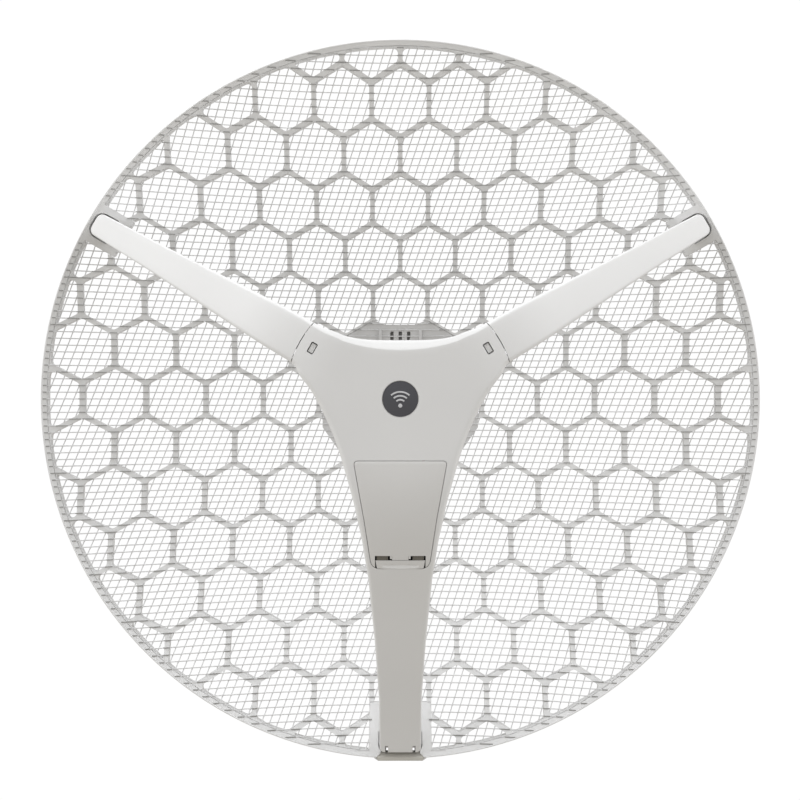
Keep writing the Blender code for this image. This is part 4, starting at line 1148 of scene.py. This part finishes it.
def measured(node, axis):
    """Middle of a round piece, then for each vertex its distance along and out from the piece's axis."""
    low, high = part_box(node)
    middle = (low + high) / 2
    others = [i for i in range(3) if i != axis]
    rows = []
    for v in frame["nodes"][node].data.vertices:
        side = [v.co[i] - middle[i] for i in others]
        rows.append((v.co[axis], hypot(*side), atan2(side[1], side[0])))
    return middle, low[axis], high[axis], rows


def threaded(radius, top, tip, pitch=0.0007):
    """Half section of a threaded shank, from its top down to its tip."""
    points, z = [], top
    while z - pitch > tip + 0.0004:
        points += [(radius * 0.84, z - pitch * 0.5), (radius, z - pitch)]
        z -= pitch
    return [(radius * 0.84, top), *points, (radius * 0.7, tip), (0, tip)]


def pan_screw(node):
    """A domed head with a cross recess on a threaded shank, head to the back."""
    middle, tip, top, rows = measured(node, 1)
    head = max(r for _, r, _ in rows)
    rise = top - min(y for y, r, _ in rows if r > 0.95 * head)
    shank = max(r for y, r, _ in rows if y < tip + 0.00005)
    section = [(0, 0), (0.55 * head, -0.07 * rise), (0.86 * head, -0.34 * rise), (head, -0.8 * rise),
               (head, -rise)] + threaded(shank, -rise, tip - top)
    arm, half, deep = 0.62 * head, 0.13 * head, -0.6 * rise
    bm = cut_with(turned_ring(section, 28), [
        (CUT, block((-arm, -half, deep), (arm, half, 0.001))),
        (CUT, block((-half, -arm, deep), (half, arm, 0.001)))])
    return bm, axes((1, 0, 0), (0, 0, -1), (0, 1, 0), (middle.x, top, middle.z))


def hexagon(radius, start, low, high, both=False):
    """A hexagonal prism whose corners are turned down at the top, or at both ends."""
    plan = [polar(radius, degrees(start) + 60 * k) for k in range(6)]
    cut = 0.12 * radius
    inner, outer = 0.88 * radius, 1.05 * radius
    foot = [(inner, low), (outer, low + cut)] if both else [(outer, low)]
    cone = turned_ring([(0, high), (inner, high), (outer, high - cut), *foot[::-1], (0, low)], 48)
    return cut_with(slab(plan, low, high), [(KEEP, cone)])


def across_bolt(low, middle):
    """Stands a round piece along X, its top at the low end."""
    return axes((0, 1, 0), (0, 0, -1), (-1, 0, 0), (low, middle.y, middle.z))


def hex_bolt(node):
    middle, low, high, rows = measured(node, 0)
    radius = max(r for _, r, _ in rows)
    corner = next(a for _, r, a in rows if r > 0.999 * radius)
    seat = max(x for x, r, _ in rows if r > 0.9 * radius)
    shank = max(r for x, r, _ in rows if x > high - 0.00005)
    plain = low - seat + 0.001 - (high - seat) * 0.55
    stem = turned_ring([(0, low - seat), (shank, low - seat), (shank, plain)]
                       + threaded(shank, plain, low - high), 32)
    bm = joined(hexagon(radius, -corner, low - seat, 0), stem)
    return bm, across_bolt(low, middle)


def hex_nut(node):
    middle, low, high, rows = measured(node, 0)
    radius, bore = max(r for _, r, _ in rows), min(r for _, r, _ in rows)
    corner = next(a for _, r, a in rows if r > 0.999 * radius)
    bm = cut_with(hexagon(radius, -corner, low - high, 0, both=True), [
        (CUT, rod(bore, (0, 0, low - high - 0.001), (0, 0, 0.001), 40))])
    return bm, across_bolt(low, middle)


def flat_washer(node):
    middle, low, high, rows = measured(node, 0)
    outer, bore = max(r for _, r, _ in rows), min(r for _, r, _ in rows)
    corners = [(bore, 0), (outer, 0), (outer, low - high), (bore, low - high)]
    section = rounded(corners, [0.0001, 0.0003, 0.0003, 0.0001], 3)
    return turned_ring(section, 48), across_bolt(low, middle)


MAKERS = {
    "board_screw": pan_screw, "cover_screw": pan_screw, "arm_screw": pan_screw, "hub_screw": pan_screw,
    "pivot_bolt": hex_bolt, "lock_bolt": hex_bolt, "pivot_nut": hex_nut, "lock_nut": hex_nut,
    "pivot_washer": flat_washer, "lock_washer": flat_washer,
}
for node, cad in frame["nodes"].items():
    for stem, maker in MAKERS.items():
        if node.startswith(stem):
            shape, where = maker(node)
            place(f"fine_{node}", shape, ZINC, matrix=where, body=body_of(cad)[0],
                  slot="fastener_steel", stands_for=(node,))


def clamp_band(node):
    """The band with its row of slots for the worm."""
    low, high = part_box(node)
    middle = (low.z + high.z) / 2
    bm = bmesh.new()
    bm.from_mesh(frame["nodes"][node].data)
    low, high = (0.0235, -0.00055, middle - 0.0040), (0.0285, 0.00055, middle + 0.0040)
    slits = [block(low, high, a) for a in range(8, 178, 5) if abs(cos(radians(a))) * 0.0255 > 0.0088]
    return cut_with(bm, [(CUT, joined(*slits))])


def clamp_cover(node):
    """The pressed cover over the worm: two flanges and a half-round crown."""
    low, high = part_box(node)
    crown, flange = (high.y - low.y) / 2 - 0.0001, 0.0010
    half = (high.z - low.z) / 2
    arc = [(x, low.y + 0.0050 + y) for x, y in (polar(crown, a) for a in range(0, 181, 12))]
    plan = [(-half, low.y), (half, low.y), (half, low.y + flange), (crown, low.y + flange), *arc,
            (-crown, low.y + flange), (-half, low.y + flange)]
    bm = cut_with(slab(plan, low.x, high.x), [
        (CUT, rod(0.0037, (0, low.y + 0.0050, -0.03), (0, low.y + 0.0050, 0.03), 36))])
    return bm, axes((0, 0, -1), (0, 1, 0), (1, 0, 0), (0, 0, (low.z + high.z) / 2))


for level in ("upper", "lower"):
    place(f"slotted_band_{level}", clamp_band(f"clamp_band_{level}"), STAINLESS, matrix=Matrix.Identity(4),
          body="mast_side", slot="stainless", stands_for=(f"clamp_band_{level}",))
    shape, where = clamp_cover(f"clamp_housing_{level}")
    place(f"worm_cover_{level}", shape, STAINLESS, matrix=where, body="mast_side", slot="stainless",
          stands_for=(f"clamp_housing_{level}",))


# ---------------------------------------------------------------- parts on the board
BOARD_TOP = 0.1000


def on_board(x, z, wide, high, thick, bevel=0.0):
    """A block that stands on the board, from its left lower corner."""
    return block((x, z, BOARD_TOP), (x + wide, z + high, BOARD_TOP + thick), bevel=bevel)


chips = [on_board(-0.0220, -0.0280, 0.0100, 0.0100, 0.0009, 0.0001),
         on_board(0.0115, -0.0300, 0.0070, 0.0070, 0.0009, 0.0001),
         on_board(-0.0070, -0.0195, 0.0140, 0.0080, 0.0030, 0.0002),
         on_board(0.0170, -0.0060, 0.0045, 0.0045, 0.0012, 0.0001)]
place("board_chips", joined(*chips), BLACK, slot="circuit_board")
cans = [on_board(-0.0220, -0.0120, 0.0032, 0.0025, 0.0008, 0.0002),
        rod(0.0022, (0.0205, -0.0150, BOARD_TOP), (0.0205, -0.0150, BOARD_TOP + 0.0042), 28)]
cans += [on_board(0.0100 + 0.0022 * k, -0.0090, 0.0012, 0.0006, 0.0006) for k in range(5)]
place("board_cans", joined(*cans), TIN, slot="circuit_board")
beads = [on_board(-0.0215 + 0.0024 * k, -0.0050 + 0.0022 * row, 0.0012, 0.0006, 0.0006)
         for k in range(6) for row in range(4)]
place("board_beads", joined(*beads), NYLON, slot="circuit_board")


# ---------------------------------------------------------------- finishes of the frame's own pieces
LOOKS = {
    "main_board": BOARD, "rj45_jack": TIN, "rf_shield": TIN, "reset_switch": BLACK, "status_led": LENS,
    "reset_button": RED, "feed_patch": COPPER, "feed_director": COPPER, "feed_post": NYLON,
    "hub_bracket": BRACKET, "pole_saddle": BRACKET, "clamp_screw_upper": STAINLESS,
    "clamp_screw_lower": STAINLESS,
}
for node, look in LOOKS.items():
    for made_slot in frame["nodes"][node].material_slots:
        made_slot.material = look


# ---------------------------------------------------------------- camera, light and floor
CAMERA_REACH = 1.1172  # from the rim plane
FOCAL_LENGTH = 1467 / 800  # for an image one unit wide
CAMERA_SHIFT = (-0.3 / 800, -1.1 / 800)
ROOM_LIGHT = 0.53
FLOOR_LIGHT = 0.56
FLOOR_TINT = (1.0, 0.96, 0.89, 1)
camera_data = bpy.data.cameras.new("camera")
camera_data.sensor_width = 36
camera_data.lens = FOCAL_LENGTH * camera_data.sensor_width
camera_data.shift_x, camera_data.shift_y = CAMERA_SHIFT
camera = in_scene("camera", camera_data)
camera.location = (0, RIM_Y - CAMERA_REACH, 0)
camera.rotation_euler = (radians(90), 0, 0)
bpy.context.scene.camera = camera
bpy.context.scene.view_settings.view_transform = "Standard"


def soft_light(name, spot, aim, size, power, colour=(1, 1, 1)):
    data = bpy.data.lights.new(name, "AREA")
    data.shape = "RECTANGLE"
    data.size, data.size_y = size
    data.energy = power
    data.color = colour
    made = in_scene(name, data)
    made.location = spot
    made.rotation_euler = (Vector(aim) - Vector(spot)).to_track_quat("-Z", "Y").to_euler()


soft_light("top_softbox", (0, -0.35, 1.9), (0, -0.15, 0), (3.0, 1.8), 38, (0.965, 0.98, 1.0))
soft_light("left_softbox", (-1.9, -0.7, 0.45), (0, -0.15, 0), (1.6, 2.2), 18, (0.985, 0.99, 1.0))
soft_light("right_softbox", (1.9, -0.7, 0.45), (0, -0.15, 0), (1.6, 2.2), 14, (0.985, 0.99, 1.0))


def white_stage(tree, lit, strength, output, tint=(1, 1, 1, 1)):
    """Pure white where the camera looks, a chosen brightness and tint for everything else."""
    seen = add_node(tree, "LightPath").outputs["Is Camera Ray"]
    shade = add_node(tree, "Mix")
    shade.data_type = "RGBA"
    shade.inputs["A"].default_value = tint
    shade.inputs["B"].default_value = (1, 1, 1, 1)
    amount = add_node(tree, "MapRange", To_Min=strength, To_Max=1.02)
    tree.links.new(seen, shade.inputs["Factor"])
    tree.links.new(shade.outputs["Result"], lit.inputs["Color"])
    tree.links.new(seen, amount.inputs["Value"])
    tree.links.new(amount.outputs["Result"], lit.inputs["Strength"])
    tree.links.new(lit.outputs[0], output)


world = bpy.data.worlds.new("white_room")
world.use_nodes = True
bpy.context.scene.world = world
air = world.node_tree
white_stage(air, air.nodes["Background"], ROOM_LIGHT, air.nodes["World Output"].inputs["Surface"])

floor_bm = bmesh.new()
bmesh.ops.create_grid(floor_bm, x_segments=8, y_segments=8, size=12)
floor = in_scene("floor", mesh_of("floor", floor_bm))
floor.location = (0, 0, -0.9)
floor_look = bpy.data.materials.new("pale_floor")
floor_look.use_nodes = True
paint = floor_look.node_tree
paint.nodes.remove(paint.nodes["Principled BSDF"])
glow = add_node(paint, "Emission")
white_stage(paint, glow, FLOOR_LIGHT, paint.nodes["Material Output"].inputs["Surface"], FLOOR_TINT)
floor.data.materials.append(floor_look)
